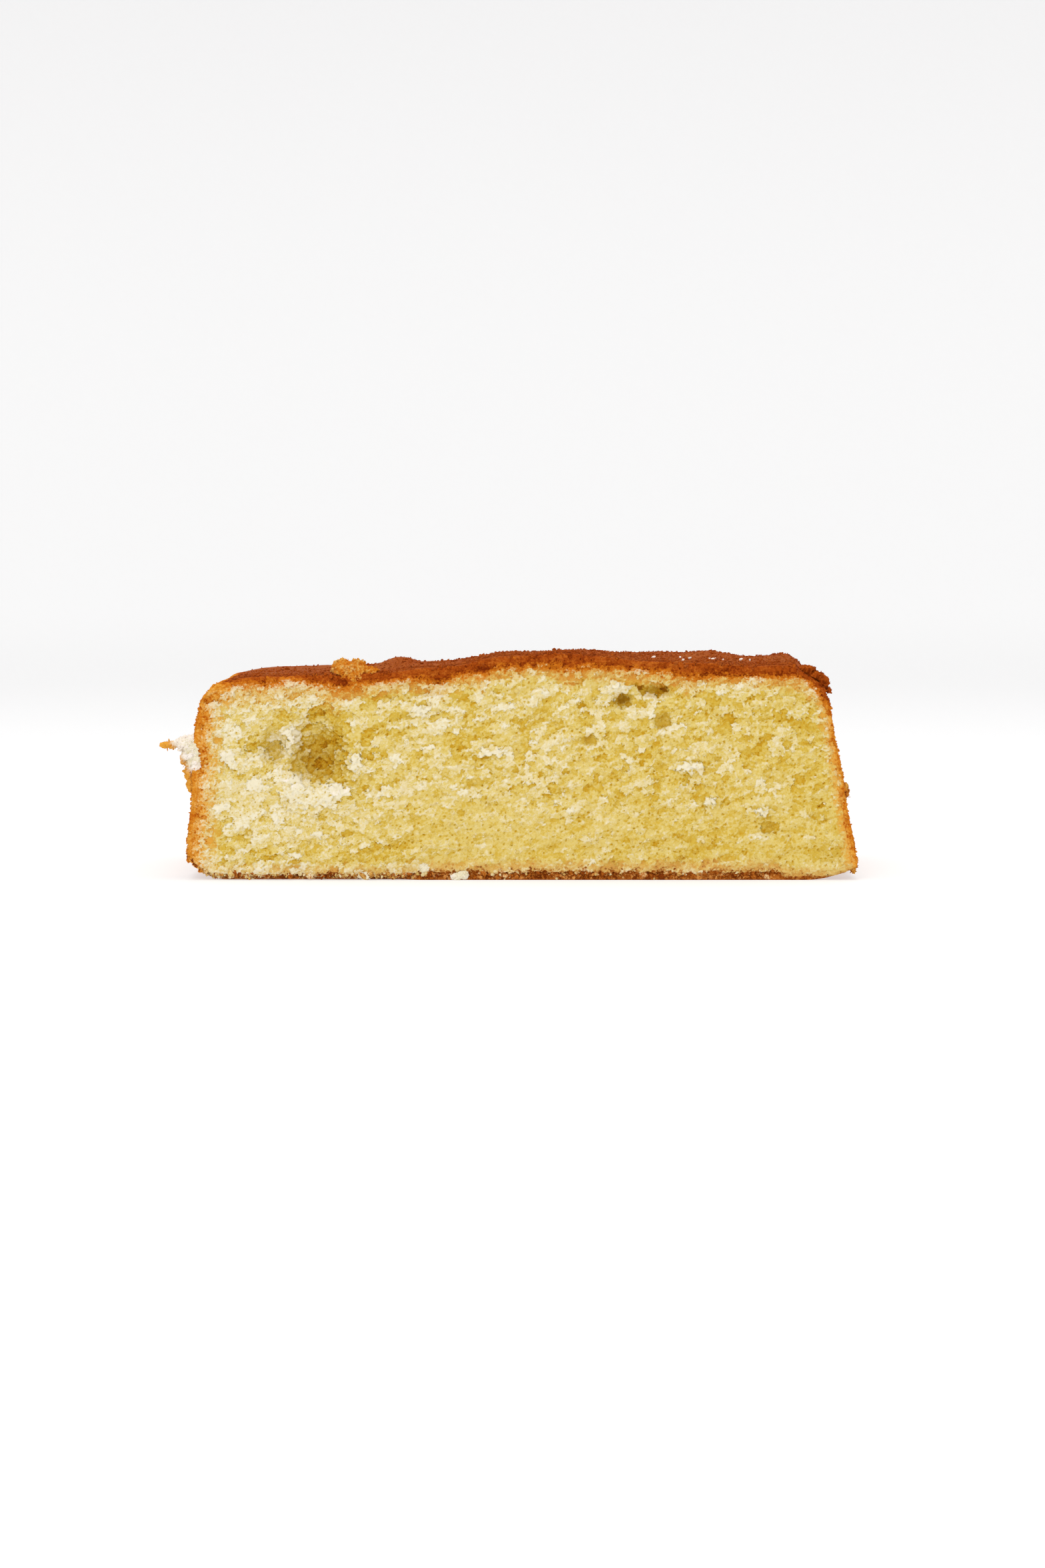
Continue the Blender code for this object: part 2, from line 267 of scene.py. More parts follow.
# The brown base skin shows as a ragged band that the crumb hangs over. Left of
# BAND_START it is thin, and lies deeper under the crumb.
BAND_START = -33 * MM
BAND_END = 66 * MM
BAND_HEIGHTS = (1.2 * MM, 2.1 * MM)
BAND_DEPTHS = (2.8 * MM, 0.6 * MM)
BAND_WANDER = 1.3 * MM
BAND_EDGE = 2.2 * MM  # the height over the base at which the skin's colours end

# Lumps, fine wrinkles and grain of the skins: how wide and how deep they are.
SKIN_LUMP = 13 * MM
SKIN_DEPTH = 0.6 * MM
WALL_LUMP = 8 * MM
WALL_DEPTH = 0.5 * MM
WRINKLE = 4.2 * MM
WRINKLE_DEPTH = 0.26 * MM
WALL_GRAIN = 2.4 * MM
WALL_GRAIN_DEPTH = 0.16 * MM

# The body's grid. Its edges along x, y and z are cut into this many parts, and each
# part again. The cells round the edge of the cut, and those just behind it, are split
# once more.
CELLS = ((14, 14), (9, 9), (58,))
RIM_WIDTH = 2.6 * MM
FINE_TOP = 6 * MM  # how far behind the middle the finer part of the top skin reaches
RIM_CUTS = 2
RECESS = 4.0 * MM  # of the middle of the body's cut side, behind the sheets of crumb

# Crags that stand out from the outline, in millimetres. The names are the pieces'. The
# depths are those under the top skin and inside the wall and the height over the base
# that their colours take. Then come how pale they are, the size of their tufts, and
# their lumps: centre, then half sizes.
Crags = collections.namedtuple("Crags", "name depths pale tuft lumps")
CRAGS = (
    Crags(
        name="torn_flap",
        depths=(9.0, 9.0, 9.0),
        pale=4.1,
        tuft=0.34,
        lumps=(
            (-95.2, -41.5, 36.0, 1.0, 0.8, 0.3),
            (-93.4, -41.5, 36.1, 1.3, 1.0, 0.6),
            (-90.6, -41.8, 36.3, 1.8, 1.6, 1.4),
            (-88.2, -42.6, 35.6, 2.0, 1.8, 2.7),
            (-87.6, -43.4, 32.0, 1.6, 1.4, 3.0),
            (-89.4, -42.2, 32.6, 1.4, 1.8, 2.2),
            (-89.0, -41.2, 28.8, 0.8, 2.0, 2.6),
            (-88.6, -41.0, 25.4, 0.6, 2.0, 1.8),
        ),
    ),
    Crags(
        name="top_crumb",
        depths=(3.5, 1.2, 9.0),
        pale=0.0,
        tuft=0.42,
        lumps=(
            (-47.8, -42.6, 56.4, 2.7, 2.0, 2.4),
            (-44.2, -42.4, 56.2, 2.6, 2.0, 2.3),
            (-40.6, -42.0, 55.4, 2.0, 1.5, 1.1),
            (-46.0, -43.4, 54.4, 2.4, 1.2, 1.4),
        ),
    ),
    Crags(
        name="lip_crust",
        depths=(1.4, 9.0, 9.0),
        pale=0.0,
        tuft=0.26,
        lumps=(
            (80.1, -42.4, 52.9, 1.3, 1.9, 1.7),
            (81.5, -42.4, 50.6, 0.5, 1.2, 0.5),
            (78.0, -42.2, 54.6, 2.2, 2.1, 1.1),
            (75.8, -42.0, 56.2, 2.3, 2.1, 0.9),
        ),
    ),
    Crags(
        name="wall_bits",
        depths=(9.0, 1.2, 2.7),
        pale=0.0,
        tuft=0.3,
        lumps=(
            (88.6, -39.5, 3.6, 0.8, 2.2, 2.0),
            (86.3, -40.7, 24.6, 0.4, 0.6, 0.8),
            (86.6, -40.2, 23.3, 0.4, 0.7, 0.6),
            (86.4, -39.3, 22.4, 0.3, 0.6, 0.5),
        ),
    ),
    Crags(
        name="base_crumbs",
        depths=(9.0, 9.0, 9.0),
        pale=3.9,
        tuft=0.3,
        lumps=(
            (-17.6, -44.2, 1.0, 1.2, 0.8, 0.7),
            (-15.9, -44.0, 1.5, 1.3, 0.9, 0.8),
            (-41.9, -43.9, 1.1, 0.8, 0.9, 0.8),
            (-43.2, -43.9, 1.4, 0.4, 0.6, 0.6),
            (-26.4, -43.7, 3.2, 1.1, 0.7, 0.9),
        ),
    ),
)
CRAG_GRAIN = 0.14 * MM  # the finest detail that a crag has
TUFTS = 240  # small tufts on each lump of a crag
# The browned underside of the torn flap, as a line from its tip down to the wall.
FLAP_TIP = (-96.3, 36.2)
FLAP_FOOT = (-88.4, 24.6)
FLAP_CRUST = 4.0  # how much further in its colour reaches, in millimetres

FLAKE_REACH = 7 * MM  # from the cut, on the skins of the top and of the walls
GRAIN_REACH = 9 * MM  # from the cut's plane, in its hollows
GRAIN_STRAY = 0.25 * MM  # how far a grain may lie from its point of the skin
BASE_GRAINS = 2200
BASE_GRAIN = 0.26 * MM
TOP_GRAINS = 7000
TOP_GRAIN = 0.2 * MM
# White specks on the top skin, in millimetres: x, y, half width.
SPECKS = (
    (50.4, -33.0, 0.55),
    (51.3, -33.4, 0.5),
    (49.6, -33.6, 0.45),
    (50.0, -34.2, 0.5),
    (50.9, -34.4, 0.5),
    (51.9, -32.8, 0.4),
    (50.7, -31.8, 0.6),
    (52.4, -34.0, 0.3),
    (42.1, -33.0, 0.35),
    (44.8, -34.0, 0.4),
    (35.2, -36.0, 0.3),
    (53.6, -36.0, 0.25),
    (58.6, -36.0, 0.4),
    (60.9, -36.0, 0.4),
    (65.4, -37.0, 0.25),
    (70.2, -39.0, 0.35),
    (71.4, -39.4, 0.3),
    (42.5, -41.6, 0.3),
    (-44.0, 12.0, 0.4),
    (12.0, 20.0, 0.35),
    (-10.0, 30.0, 0.3),
)

# The sheets of fine crumb over the cut side of the body: name, start and end along x.
SHEETS = (
    ("crumb_left", -89.0 * MM, -30.0 * MM),
    ("crumb_middle", -30.0 * MM, 30.0 * MM),
    ("crumb_right", 30.0 * MM, 89.0 * MM),
)
SHEET_STEP = 0.22 * MM
SHEET_MARGIN = 0.9 * MM  # from the edge of the cut
SHEET_BACK = -29 * MM
SHEET_DIP = 1.0 * MM  # how far its edge sinks into the body

# The stage: a floor that sweeps up into a round wall, and how brightly they glow.
BOWL_FLOOR = 1.3
BOWL_SWEEP = 0.9
BOWL_HEIGHT = 2.6
BOWL_STEPS = 12
STAGE_ALBEDO = 0.5
STAGE_GLOW = 0.56
FLOOR_GLOW = (0.93,) * 3
WALL_GLOW = (0.975,) * 3
HIGH_GLOW = (0.81, 0.8, 0.805)
SURROUND_COLOUR = (1.0, 0.995, 0.99, 1)
TOP_LAMP = ((0, 0.05, 1.1), 1.1)  # place and width
FRONT_LAMP = ((-0.2, -1.1, 0.9), 0.9)
LAMP_AIM = (0, 0, 0.03)
CAMERA_AIM = (0, -DEPTH / 2, 25.7 * MM)


# ---------------------------------------------------------------------------
# Fields over whole arrays of points.


def smooth(values):
    """0 below 0, 1 above 1, and an even S-curve between."""
    values = np.clip(values, 0.0, 1.0)
    return values * values * (3 - 2 * values)


def mix(a, b, share):
    return a + (b - a) * share


class Field:
    """Repeatable random fields over space, worked out for many points at once."""

    def __init__(self, seed):
        draw = np.random.default_rng(seed)
        self.order = draw.permutation(256)
        slopes = draw.normal(size=(256, 3))
        self.slopes = slopes / np.linalg.norm(slopes, axis=1)[:, None]
        self.places = draw.random((256, 3))
        self.lots = draw.random(256)

    def pick(self, cell):
        turn = self.order[cell[:, 0] & 255]
        turn = self.order[(turn + cell[:, 1]) & 255]
        return self.order[(turn + cell[:, 2]) & 255]

    def wave(self, points):
        """Soft noise, about -1 to 1, with lumps about one unit across."""
        cell = np.floor(points).astype(int)
        inside = points - cell
        ease = inside**3 * (inside * (inside * 6 - 15) + 10)
        total = np.zeros(len(points))
        for corner in np.ndindex(2, 2, 2):
            lean = self.slopes[self.pick(cell + corner)]
            share = np.prod(np.where(corner, ease, 1 - ease), axis=1)
            total += share * np.einsum("ij,ij->i", lean, inside - corner)
        return total * 1.6

    def rough(self, points, octaves, gain=0.5):
        """Several sizes of noise, each half as large as the last."""
        total, weight, reach = 0, 1.0, 0.0
        for octave in range(octaves):
            total = total + weight * self.wave(points * 2.0**octave + 17.3 * octave)
            reach += weight
            weight *= gain
        return total / reach**0.7

    def cells(self, points):
        """Over the plane of the first and last coordinates: the distance to the nearest
        of scattered seeds, that seed's lot from 0 to 1, and its place."""
        cell = np.floor(points).astype(int)
        nearest = np.full(len(points), 9.0)
        lot = np.zeros(len(points))
        place = np.zeros((len(points), 3))
        for step in np.ndindex(3, 1, 3):
            there = cell + np.array(step) - (1, 0, 1)
            pick = self.pick(there)
            seed = there + self.places[pick]
            gap = np.hypot(seed[:, 0] - points[:, 0], seed[:, 2] - points[:, 2])
            closer = gap < nearest
            nearest = np.where(closer, gap, nearest)
            lot = np.where(closer, self.lots[pick], lot)
            place = np.where(closer[:, None], seed, place)
        return nearest, lot, place


TORN = Field(SEED)
GRAIN = Field(SEED + 1)
FLOSS = Field(SEED + 2)


def flat(x, z, across, up, tilt=0.0, away=0.0):
    """Points for a field over the cut face, in units of this size, turned by tilt."""
    along = x * math.cos(tilt) + z * math.sin(tilt)
    over = z * math.cos(tilt) - x * math.sin(tilt)
    return np.stack((along / across, np.full(len(x), away), over / up), axis=1)


def swelling(x, z, spot):
    """Height at (x, z) of a rounded swelling that reaches further up than down."""
    centre_x, centre_z, half_width, reach_up, reach_down, height = (v * MM for v in spot)
    across = (x - centre_x) / half_width
    along = (z - centre_z) / np.where(z > centre_z, reach_up, reach_down)
    left = np.maximum(0.0, 1 - across * across - along * along)
    return height * left * left


def swelling_mask(x, z, spot):
    """A soft spot of strength 1: its x, z, half width and half height, in millimetres."""
    centre_x, centre_z, half_width, half_height = (v * MM for v in spot)
    return np.exp(-(((x - centre_x) / half_width) ** 2) - ((z - centre_z) / half_height) ** 2)


def unevenness(x, y, z, lump):
    points = np.stack(np.broadcast_arrays(x, y, z), axis=1) / lump
    return np.array([noise.noise(point) for point in points.tolist()])


def crown(x, y):
    """Height of the top skin, without the shoulders."""
    height = RIM_HEIGHT
    for hump in HUMPS:
        centre_x, centre_y, half_x, half_y, rise = (v * MM for v in hump)
        spread = ((x - centre_x) / half_x) ** 2 + ((y - centre_y) / half_y) ** 2
        height = height + rise * np.exp(-spread)
    return height + SKIN_DEPTH * unevenness(x, y, RIM_HEIGHT, SKIN_LUMP)


def tear(x, z):
    places = flat(x, z, TEAR_LENGTH, TEAR_HEIGHT, TEAR_TILT).tolist()
    return TEAR_DEPTH * np.array(
        [noise.fractal(p, TEAR_ROUGHNESS, OCTAVE_RATIO, TEAR_OCTAVES) for p in places]
    )


def round_corner(x, y):
    """Takes points of the square outline into the one with rounded back corners."""
    over_x = np.abs(x) - (LENGTH / 2 - CORNER_RADIUS)
    over_y = y - (DEPTH / 2 - CORNER_RADIUS)
    corner = (over_x > 0) & (over_y > 0)
    reach = np.maximum(np.hypot(over_x, over_y), 1e-9)
    scale = np.where(corner, np.maximum(over_x, over_y) / reach, 1.0)
    inner = np.copysign(LENGTH / 2 - CORNER_RADIUS, x)
    new_x = np.where(corner, inner + np.copysign(over_x * scale, x), x)
    return new_x, np.where(corner, y - over_y * (1 - scale), y)


def nearest_wall(x, y):
    """Distance in plan to the nearest wall, its outward direction, and its measures."""
    over_x = np.abs(x) - (LENGTH / 2 - CORNER_RADIUS)
    over_y = y - (DEPTH / 2 - CORNER_RADIUS)
    side = np.copysign(1, x)
    corner = (over_x > 0) & (over_y > 0)
    reach = np.maximum(np.hypot(over_x, over_y), 1e-9)
    end = over_x > over_y
    over = np.where(corner, reach, np.maximum(over_x, over_y))
    out_x = np.where(corner, side * over_x / reach, np.where(end, side, 0.0))
    out_y = np.where(corner, over_y / reach, np.where(end, 0.0, 1.0))
    wall = Wall(
        *(mix(b, np.where(x > 0, r, e), out_x**2) for b, r, e in zip(BACK, RIGHT, LEFT))
    )
    return CORNER_RADIUS - over, out_x, out_y, wall


def skins(x, y):
    """Foot and top of the cake over a point of its plan, its inset and its wall."""
    inset, out_x, out_y, wall = nearest_wall(x, y)
    foot = wall.curl_height * np.maximum(0.0, 1 - inset / wall.curl_width) ** 2
    slope = np.maximum(0.0, 1 - inset / wall.shoulder_width) ** SHOULDER_POWER
    return foot, crown(x, y) - wall.shoulder_drop * slope, inset, out_x, out_y, wall


def bits_over(field, x, z, size, stir, away=0.0):
    """Parts the cut face into ragged bits: for each point the gap to the middle of its
    bit, the bit's lot, and where that middle is."""
    across, up, wander = size
    points = flat(x + wander * stir[0], z + wander * stir[1], across, up, TEAR_TILT, away)
    gap, lot, middle = field.cells(points)
    along, over = middle[:, 0] * across, middle[:, 2] * up
    middle_x = along * math.cos(TEAR_TILT) - over * math.sin(TEAR_TILT)
    return gap, lot, middle_x, along * math.sin(TEAR_TILT) + over * math.cos(TEAR_TILT)


def boldness(x, z):
    """How strongly the crumb is torn into plates: boldly on top and at the left, little
    near the base."""
    patches = TORN.rough(flat(x, z, 16 * MM, 9 * MM, TEAR_TILT, 4.4), 2)
    even = 1 - smooth((z - 12 * MM) / (14 * MM))
    even = even * smooth((x + 45 * MM) / (20 * MM))
    return np.clip(0.95 - 0.53 * even + 0.5 * patches, 0.25, 1.4)


def within(x, z, spot):
    """1 well inside a spot and 0 outside it, with a narrow edge."""
    return smooth(swelling(x, z, spot) / (0.35 * spot[-1] * MM))


Crumb = collections.namedtuple("Crumb", "height plate_x plate_z flake_x flake_z")


def crumb(x, z):
    """The fine crumb over the cut face. Its height is about 0 on average, 2 on the
    boldest plates and -3 in the deepest pits."""
    stir = [
        TORN.rough(flat(x, z, 1.6 * MM, 1.3 * MM, away=away), 4, 0.7) for away in (3.1, 8.7)
    ]
    _, lot, plate_x, plate_z = bits_over(GRAIN, x, z, PLATE, stir)
    streak = TORN.rough(flat(plate_x, plate_z, *STREAK, TEAR_TILT, 5.5), 3, 0.7)
    bold = boldness(x, z)
    height = STREAK_RISE * bold * streak + 0.7 * (lot - 0.5)
    _, lot, flake_x, flake_z = bits_over(FLOSS, x, z, FLAKE, stir)
    clump = TORN.rough(flat(flake_x, flake_z, *CLUMP, TEAR_TILT, 2.5), 2, 0.7)
    height += CLUMP_RISE * clump * (0.4 + 0.6 * bold) + 0.5 * (lot - 0.5)
    gap, lot, *_ = bits_over(TORN, x, z, BUBBLE, stir, 2.2)
    pit = 1 - smooth((gap - 0.1) / (0.08 + 0.3 * lot))
    height -= np.where(lot < 0.3, BUBBLE_DROP * pit, 0.0)
    height -= GRAIN_RISE * GRAIN.rough(flat(x, z, 0.9 * MM, 0.8 * MM, 0.0, 7.1), 3, 0.8)
    low = 1 - smooth((z - 6 * MM) / (16 * MM))
    height -= LOW_TONE * low * smooth((x + 40 * MM) / (20 * MM))
    height -= RIGHT_TONE * smooth((x - 20 * MM) / (20 * MM))
    # Painted light: the tufts stand out and are paler.
    tufts = sum(swelling(plate_x, plate_z, spot) for spot in SMALL_TUFTS)
    height += TUFT_RISE * tufts / MM
    height += LEFT_TONE * smooth((-x - 45 * MM) / (20 * MM))
    # Painted shade: deeper colour where the plates lie back.
    for spot in RECESS_SHADE_SPOTS:
        height -= spot[-1] * within(plate_x, plate_z, spot)
    # Painted shade: the small holes sink and are deeper in colour.
    for spot in SMALL_HOLES:
        height = mix(height, -HOLE_DROP * spot[-1], 0.65 * within(flake_x, flake_z, spot))
    return Crumb(np.clip(height, -4.0, 2.8), plate_x, plate_z, flake_x, flake_z)


def browned(x, depth):
    """The depth under the top skin that colours follow, less where it is browned deeply
    and stretched where its fringe is wide."""
    widen = 1.0
    for centre, half_width, deeper, wider in BROWN_LOBES:
        share = np.exp(-(((x / MM - centre) / half_width) ** 2))
        depth = depth - deeper * MM * share
        widen = widen + wider * share
    return np.where(depth > BROWN_END, BROWN_END + (depth - BROWN_END) / widen, depth)


def round_rim(inset, z, top, radius):
    """Takes points near a square rim onto its arc."""
    over = radius - inset
    up = z - (top - radius)
    arc = (over > 0) & (up > 0)
    scale = np.maximum(over, up) / np.maximum(np.hypot(over, up), 1e-9)
    new_inset = np.where(arc, radius - over * scale, inset)
    return new_inset, np.where(arc, top - radius + up * scale, z)


def base_band(z, foot, bits):
    """How far points of the cut lie over the ragged brown band of base skin at its foot,
    and how far the crumb hangs over that band."""
    x = bits.flake_x
    right = smooth((x - BAND_START) / (6 * MM))
    spread = TORN.rough(flat(x, np.zeros(len(x)), 5 * MM, MM, away=21.7), 5, 0.8)
    height = mix(*BAND_HEIGHTS, right) * (1 - 0.7 * smooth((x - BAND_END) / (6 * MM)))
    height = np.maximum(height + BAND_WANDER * spread, 0.25 * MM)
    return mix(z, bits.flake_z, 0.7) - foot - height, mix(*BAND_DEPTHS, right)


def wall_relief(skin, behind, out_x):
    """How far the walls stand proud: the lip under the rim, lumps, fine grain, and the
    crumbs that break the outline of the cut."""
    x, y, z = skin.T
    lip = np.exp(-(((z - LIP_HEIGHT) / LIP_HALF_WIDTH) ** 2))
    strength = mix(LIP_LEAST, 1, smooth(-y / (DEPTH / 2)))
    proud = LIP_REACH * lip * strength * np.maximum(0.0, out_x)
    proud += WALL_DEPTH * unevenness(x, y, z, WALL_LUMP)
    proud += WALL_GRAIN_DEPTH * GRAIN.rough(skin / WALL_GRAIN, 3, 0.6)
    ragged = TORN.rough(skin / RAGGED_LUMP + 9.0, 4, 0.75)
    return proud + RAGGED_EDGE * ragged * np.exp(-behind / RAGGED_FADE)


def cut_form(x, z, top, bits):
    """How far the cut lies behind its plane without its fine crumb: broad tears, holes
    and ledges, and the edge of the top skin, which stands proud."""
    form = tear(x, z)
    for spots, ragged, way in ((HOLES, 0.3, 1), (LEDGES, 0.6, -1)):
        form_x, form_z = mix(x, bits.plate_x, ragged), mix(z, bits.plate_z, ragged)
        form += way * sum(swelling(form_x, form_z, spot) for spot in spots)
    return form - RIND_REACH * smooth((RIND_THICKNESS - (top - z)) / RIND_FADE)


def skin_depths(x, z, foot, top, inset, torn):
    """What the colours of the skins follow: the depth under the top skin and inside the
    wall, the height over the base, and no crumb. The rim stays golden."""
    breadth = RIM_GOLDEN * smooth((GOLDEN_END - x) / GOLDEN_RANGE)
    edge = breadth + torn * MM
    golden = smooth((edge - inset) / GOLDEN_FADE)
    walled = smooth((edge + GOLDEN_WALL - inset) / GOLDEN_WALL_FADE) * smooth(breadth / MM)
    from_wall = mix(inset, np.minimum(inset, top - z - MM) * 0.5 - MM, walled)
    curl = CURL_UNBROWNED * smooth((np.abs(x) - CURL_START) / (8 * MM))
    return np.stack((top - z + RIM_UNBROWNED * golden, from_wall, z - foot + curl, 0 * x))


def cut_depths(x, z, foot, depths, bits, over_band, form):
    """The same over the cut, where colours change from bit to bit, and the height of the
    crumb."""
    under_top, from_wall, over_base, _ = depths
    top_depth = np.maximum(browned(bits.flake_x, under_top + (z - bits.flake_z)), CUT_DEPTH)
    wall_depth = from_wall + np.abs(x) - np.abs(bits.flake_x)
    base_depth = BAND_EDGE + over_band + over_base - (z - foot)
    # Painted light: the crumb is paler where the cut stands proud of its plane.
    painted_relief_shading = 0.3 * np.minimum(form, 0) / MM
    height = bits.height - painted_relief_shading + FLUFF_TONE * swelling_mask(x, z, FLUFF)
    return np.stack((top_depth, wall_depth, base_depth, height))


def cake_points(block, recess=0.0):
    """Where the points of the block go, and what their colours follow: the depth under
    the top skin, inside the wall and over the base, in millimetres, and the height of
    the crumb. The block's z is 0 at the base and 1 at the top. recess sets points of the
    cut back."""
    x, y, share = block.T
    behind = y + DEPTH / 2
    x, y = round_corner(x, y)
    foot, top, inset, out_x, out_y, wall = skins(x, y)
    z = mix(foot, top, share)

    arc_inset, z = round_rim(inset, z, top, wall.rim_radius)
    torn = TORN.rough(flat(x, y, TORN_LUMP, TORN_LUMP, away=12.3), 3)
    set_back, z = round_rim(behind, z, top, TORN_RADIUS * (1 + 0.6 * torn))

    skin = np.stack((x, y, z), axis=1)
    proud = wall_relief(skin, behind, out_x) * smooth(1 - inset / CORNER_RADIUS)
    x = x - out_x * (arc_inset - inset - proud)
    y = y - out_y * (arc_inset - inset - proud)
    x = x - z * x / (LENGTH / 2) * np.where(x > 0, RIGHT.lean, LEFT.lean)
    y = y - z * behind / DEPTH * BACK.lean + set_back - behind
    wrinkles = WRINKLE_DEPTH * GRAIN.rough(skin / WRINKLE, 4, 0.6)
    z = z + smooth((share - 0.9) / 0.1) * wrinkles
    depths = skin_depths(x, z, foot, top, inset, torn)

    # The cut, and the part of the skins that is torn along with it.
    near = behind < 8 * TEAR_FADE
    cut_x, cut_z, cut_behind = x[near], z[near], behind[near]
    bits = crumb(cut_x, cut_z)
    form = cut_form(cut_x, cut_z, top[near], bits)
    over_band, overhang = base_band(cut_z, foot[near], bits)
    fine = np.exp(-cut_behind / CRUMB_FADE) * smooth(cut_z / (0.6 * MM))
    fade = np.exp(-cut_behind / TEAR_FADE) * smooth(cut_z / TEAR_FOOT)
    y[near] += form * fade - CRUMB_STEP * bits.height * fine
    under = smooth(-over_band / (0.4 * MM))
    y[near] += overhang * under * np.exp(-cut_behind / overhang)
    hang = RAGGED_SHIFT * fine * smooth(cut_z / (2 * MM))
    x[near] += hang * TORN.rough(skin[near] / (1.3 * MM) + 31.0, 2)
    z[near] += hang * TORN.rough(skin[near] / (1.2 * MM) + 57.0, 2)

    on_cut = (cut_behind < 0.5 * MM).astype(float)
    found = cut_depths(cut_x, cut_z, foot[near], depths[:, near], bits, over_band, form)
    depths[:, near] = mix(depths[:, near], found, on_cut)
    depths[:3] /= MM
    return np.stack((x, y + recess, z), axis=1), depths


# ---------------------------------------------------------------------------
# Settings that a user would change.


def length_setting(name, description, default):
    return bpy.props.FloatProperty(
        name=name, description=description, default=default, subtype="DISTANCE", unit="LENGTH"
    )


def count_setting(name, description, default):
    return bpy.props.IntProperty(name=name, description=description, default=default, min=1)


def power_setting(name, description, default):
    return bpy.props.FloatProperty(
        name=name, description=description, default=default, unit="POWER"
    )


def colour_setting(name, description, default):
    """The default is in screen colours from 0 to 255; the property is linear."""
    return bpy.props.FloatVectorProperty(
        name=name,
        description=description,
        default=linear(default),
        size=3,
        min=0,
        max=1,
        subtype="COLOR",
    )


def linear(screen):
    shares = [value / 255 for value in screen]
    return tuple(
        share / 12.92 if share <= 0.04045 else ((share + 0.055) / 1.055) ** 2.4
        for share in shares
    )


class CakeSizes(bpy.types.PropertyGroup):
    """Sizes of the detail on the torn crumb."""

    sheet_step: length_setting("Crumb step", "Grid step of the torn crumb", SHEET_STEP)
    grain_size: length_setting("Grain size", "Half width of the loose grains", 0.22 * MM)
    grain_count: count_setting("Grains", "How many loose grains of crumb there are", 2400)
    flake_size: length_setting("Flake size", "Half width of the flakes of skin", 0.24 * MM)
    flake_count: count_setting("Flakes", "How many flakes lie on the skin near the cut", 1700)


class CakeColours(bpy.types.PropertyGroup):
    """Colours of the crumb and of the baked skin."""

    crumb_white: colour_setting("White crumb", "Loose, dry crumbs", (248, 237, 224))
    # From here to the deepest holes the colours stand partly for light: the paler ones are
    # painted light on raised plates and tips, the deeper ones painted shade behind the plates and
    # in holes.
    crumb_pale: colour_setting("Palest crumb", "Torn tips that catch the light", (238, 228, 198))
    crumb_light: colour_setting("Light crumb", "Torn plates that stand out", (231, 214, 164))
    crumb: colour_setting("Crumb", "The open crumb", (223, 199, 116))
    crumb_sunk: colour_setting("Sunk crumb", "Crumb behind the torn plates", (212, 178, 70))
    crumb_deep: colour_setting("Deep crumb", "Crumb at the bottom of holes", (202, 154, 34))
    # Painted shade: the darkness deep in a hole.
    crumb_hole_shade: colour_setting("Deepest holes", "Toasted crumb deep in a hole", (162, 106, 18))
    skin_dark: colour_setting("Dark skin", "The darkest baked spots on top", (122, 44, 6))
    skin: colour_setting("Top skin", "The baked skin on top", (162, 72, 14))
    skin_light: colour_setting("Light skin", "The palest spots of the baked skin", (186, 98, 30))
    skin_dull: colour_setting("Dull skin", "The raised, dry parts of the top skin", (158, 92, 50))
    skin_edge: colour_setting("Skin edge", "Where the top skin turns into crumb", (206, 118, 26))
    toasted: colour_setting("Toasted crumb", "Crumb just under the skin", (218, 172, 86))
    wall: colour_setting("Wall skin", "The golden skin of the walls", (212, 132, 36))
    wall_light: colour_setting("Light wall skin", "Paler spots of the walls", (228, 162, 62))
    wall_dark: colour_setting("Dark wall skin", "Browned spots of the walls", (186, 92, 14))
    base: colour_setting("Base skin", "The brown skin of the base", (174, 96, 28))
    base_light: colour_setting("Light base skin", "Palest spots of the base", (216, 152, 80))
    toasted_base: colour_setting("Toasted base", "Crumb just over the base", (206, 156, 90))
    base_dark: colour_setting("Dark base skin", "Browned spots of the base", (124, 54, 12))


class StageSettings(bpy.types.PropertyGroup):
    """The camera and the light."""

    camera_distance: length_setting("Camera distance", "From the camera to the cut", 1.05)
    camera_height: bpy.props.FloatProperty(
        name="Camera elevation",
        description="How far above the horizon the camera stands",
        default=math.radians(3.75),
        subtype="ANGLE",
        unit="ROTATION",
    )
    focal_length: bpy.props.FloatProperty(
        name="Focal length", description="Of the lens, in millimetres", default=90.5, min=1
    )
    top_light: power_setting("Top light", "Of the large soft light overhead", 5.8)
    front_light: power_setting("Front light", "Of the soft light over the camera", 4.6)
    surround: bpy.props.FloatProperty(
        name="Surround", description="Brightness of the pale surroundings", default=0.4, min=0
    )


# ---------------------------------------------------------------------------
# Shader recipes.

# The attributes that colours follow.
DEPTHS = ("under_top", "from_wall", "over_base", "crumb_height_and_shade")


class Value:
    """A number that varies over a surface. Python's operators on it add Math nodes."""

    def __init__(self, recipe, socket):
        self.recipe = recipe
        self.socket = socket

    def math(self, operation, first, second):
        sockets = {0: first, 1: second}
        return self.recipe.node("ShaderNodeMath", {"operation": operation}, sockets)

    def __add__(self, other):
        return self.math("ADD", self, other)

    def __sub__(self, other):
        return self.math("SUBTRACT", self, other)

    def __rsub__(self, other):
        return self.math("SUBTRACT", other, self)

    def __mul__(self, other):
        return self.math("MULTIPLY", self, other)

    __radd__ = __add__
    __rmul__ = __mul__

    def clamp(self):
        return self.math("MAXIMUM", self.math("MINIMUM", self, 1.0), 0.0)

    def ramp(self, start, end):
        """0 where this is at start, 1 where it is at end, and eased between."""
        settings = {"interpolation_type": "SMOOTHSTEP"}
        sockets = {"Value": self, "From Min": start, "From Max": end}
        if start > end:
            sockets.update({"From Min": end, "From Max": start, "To Min": 1.0, "To Max": 0.0})
        return self.recipe.node("ShaderNodeMapRange", settings, sockets)


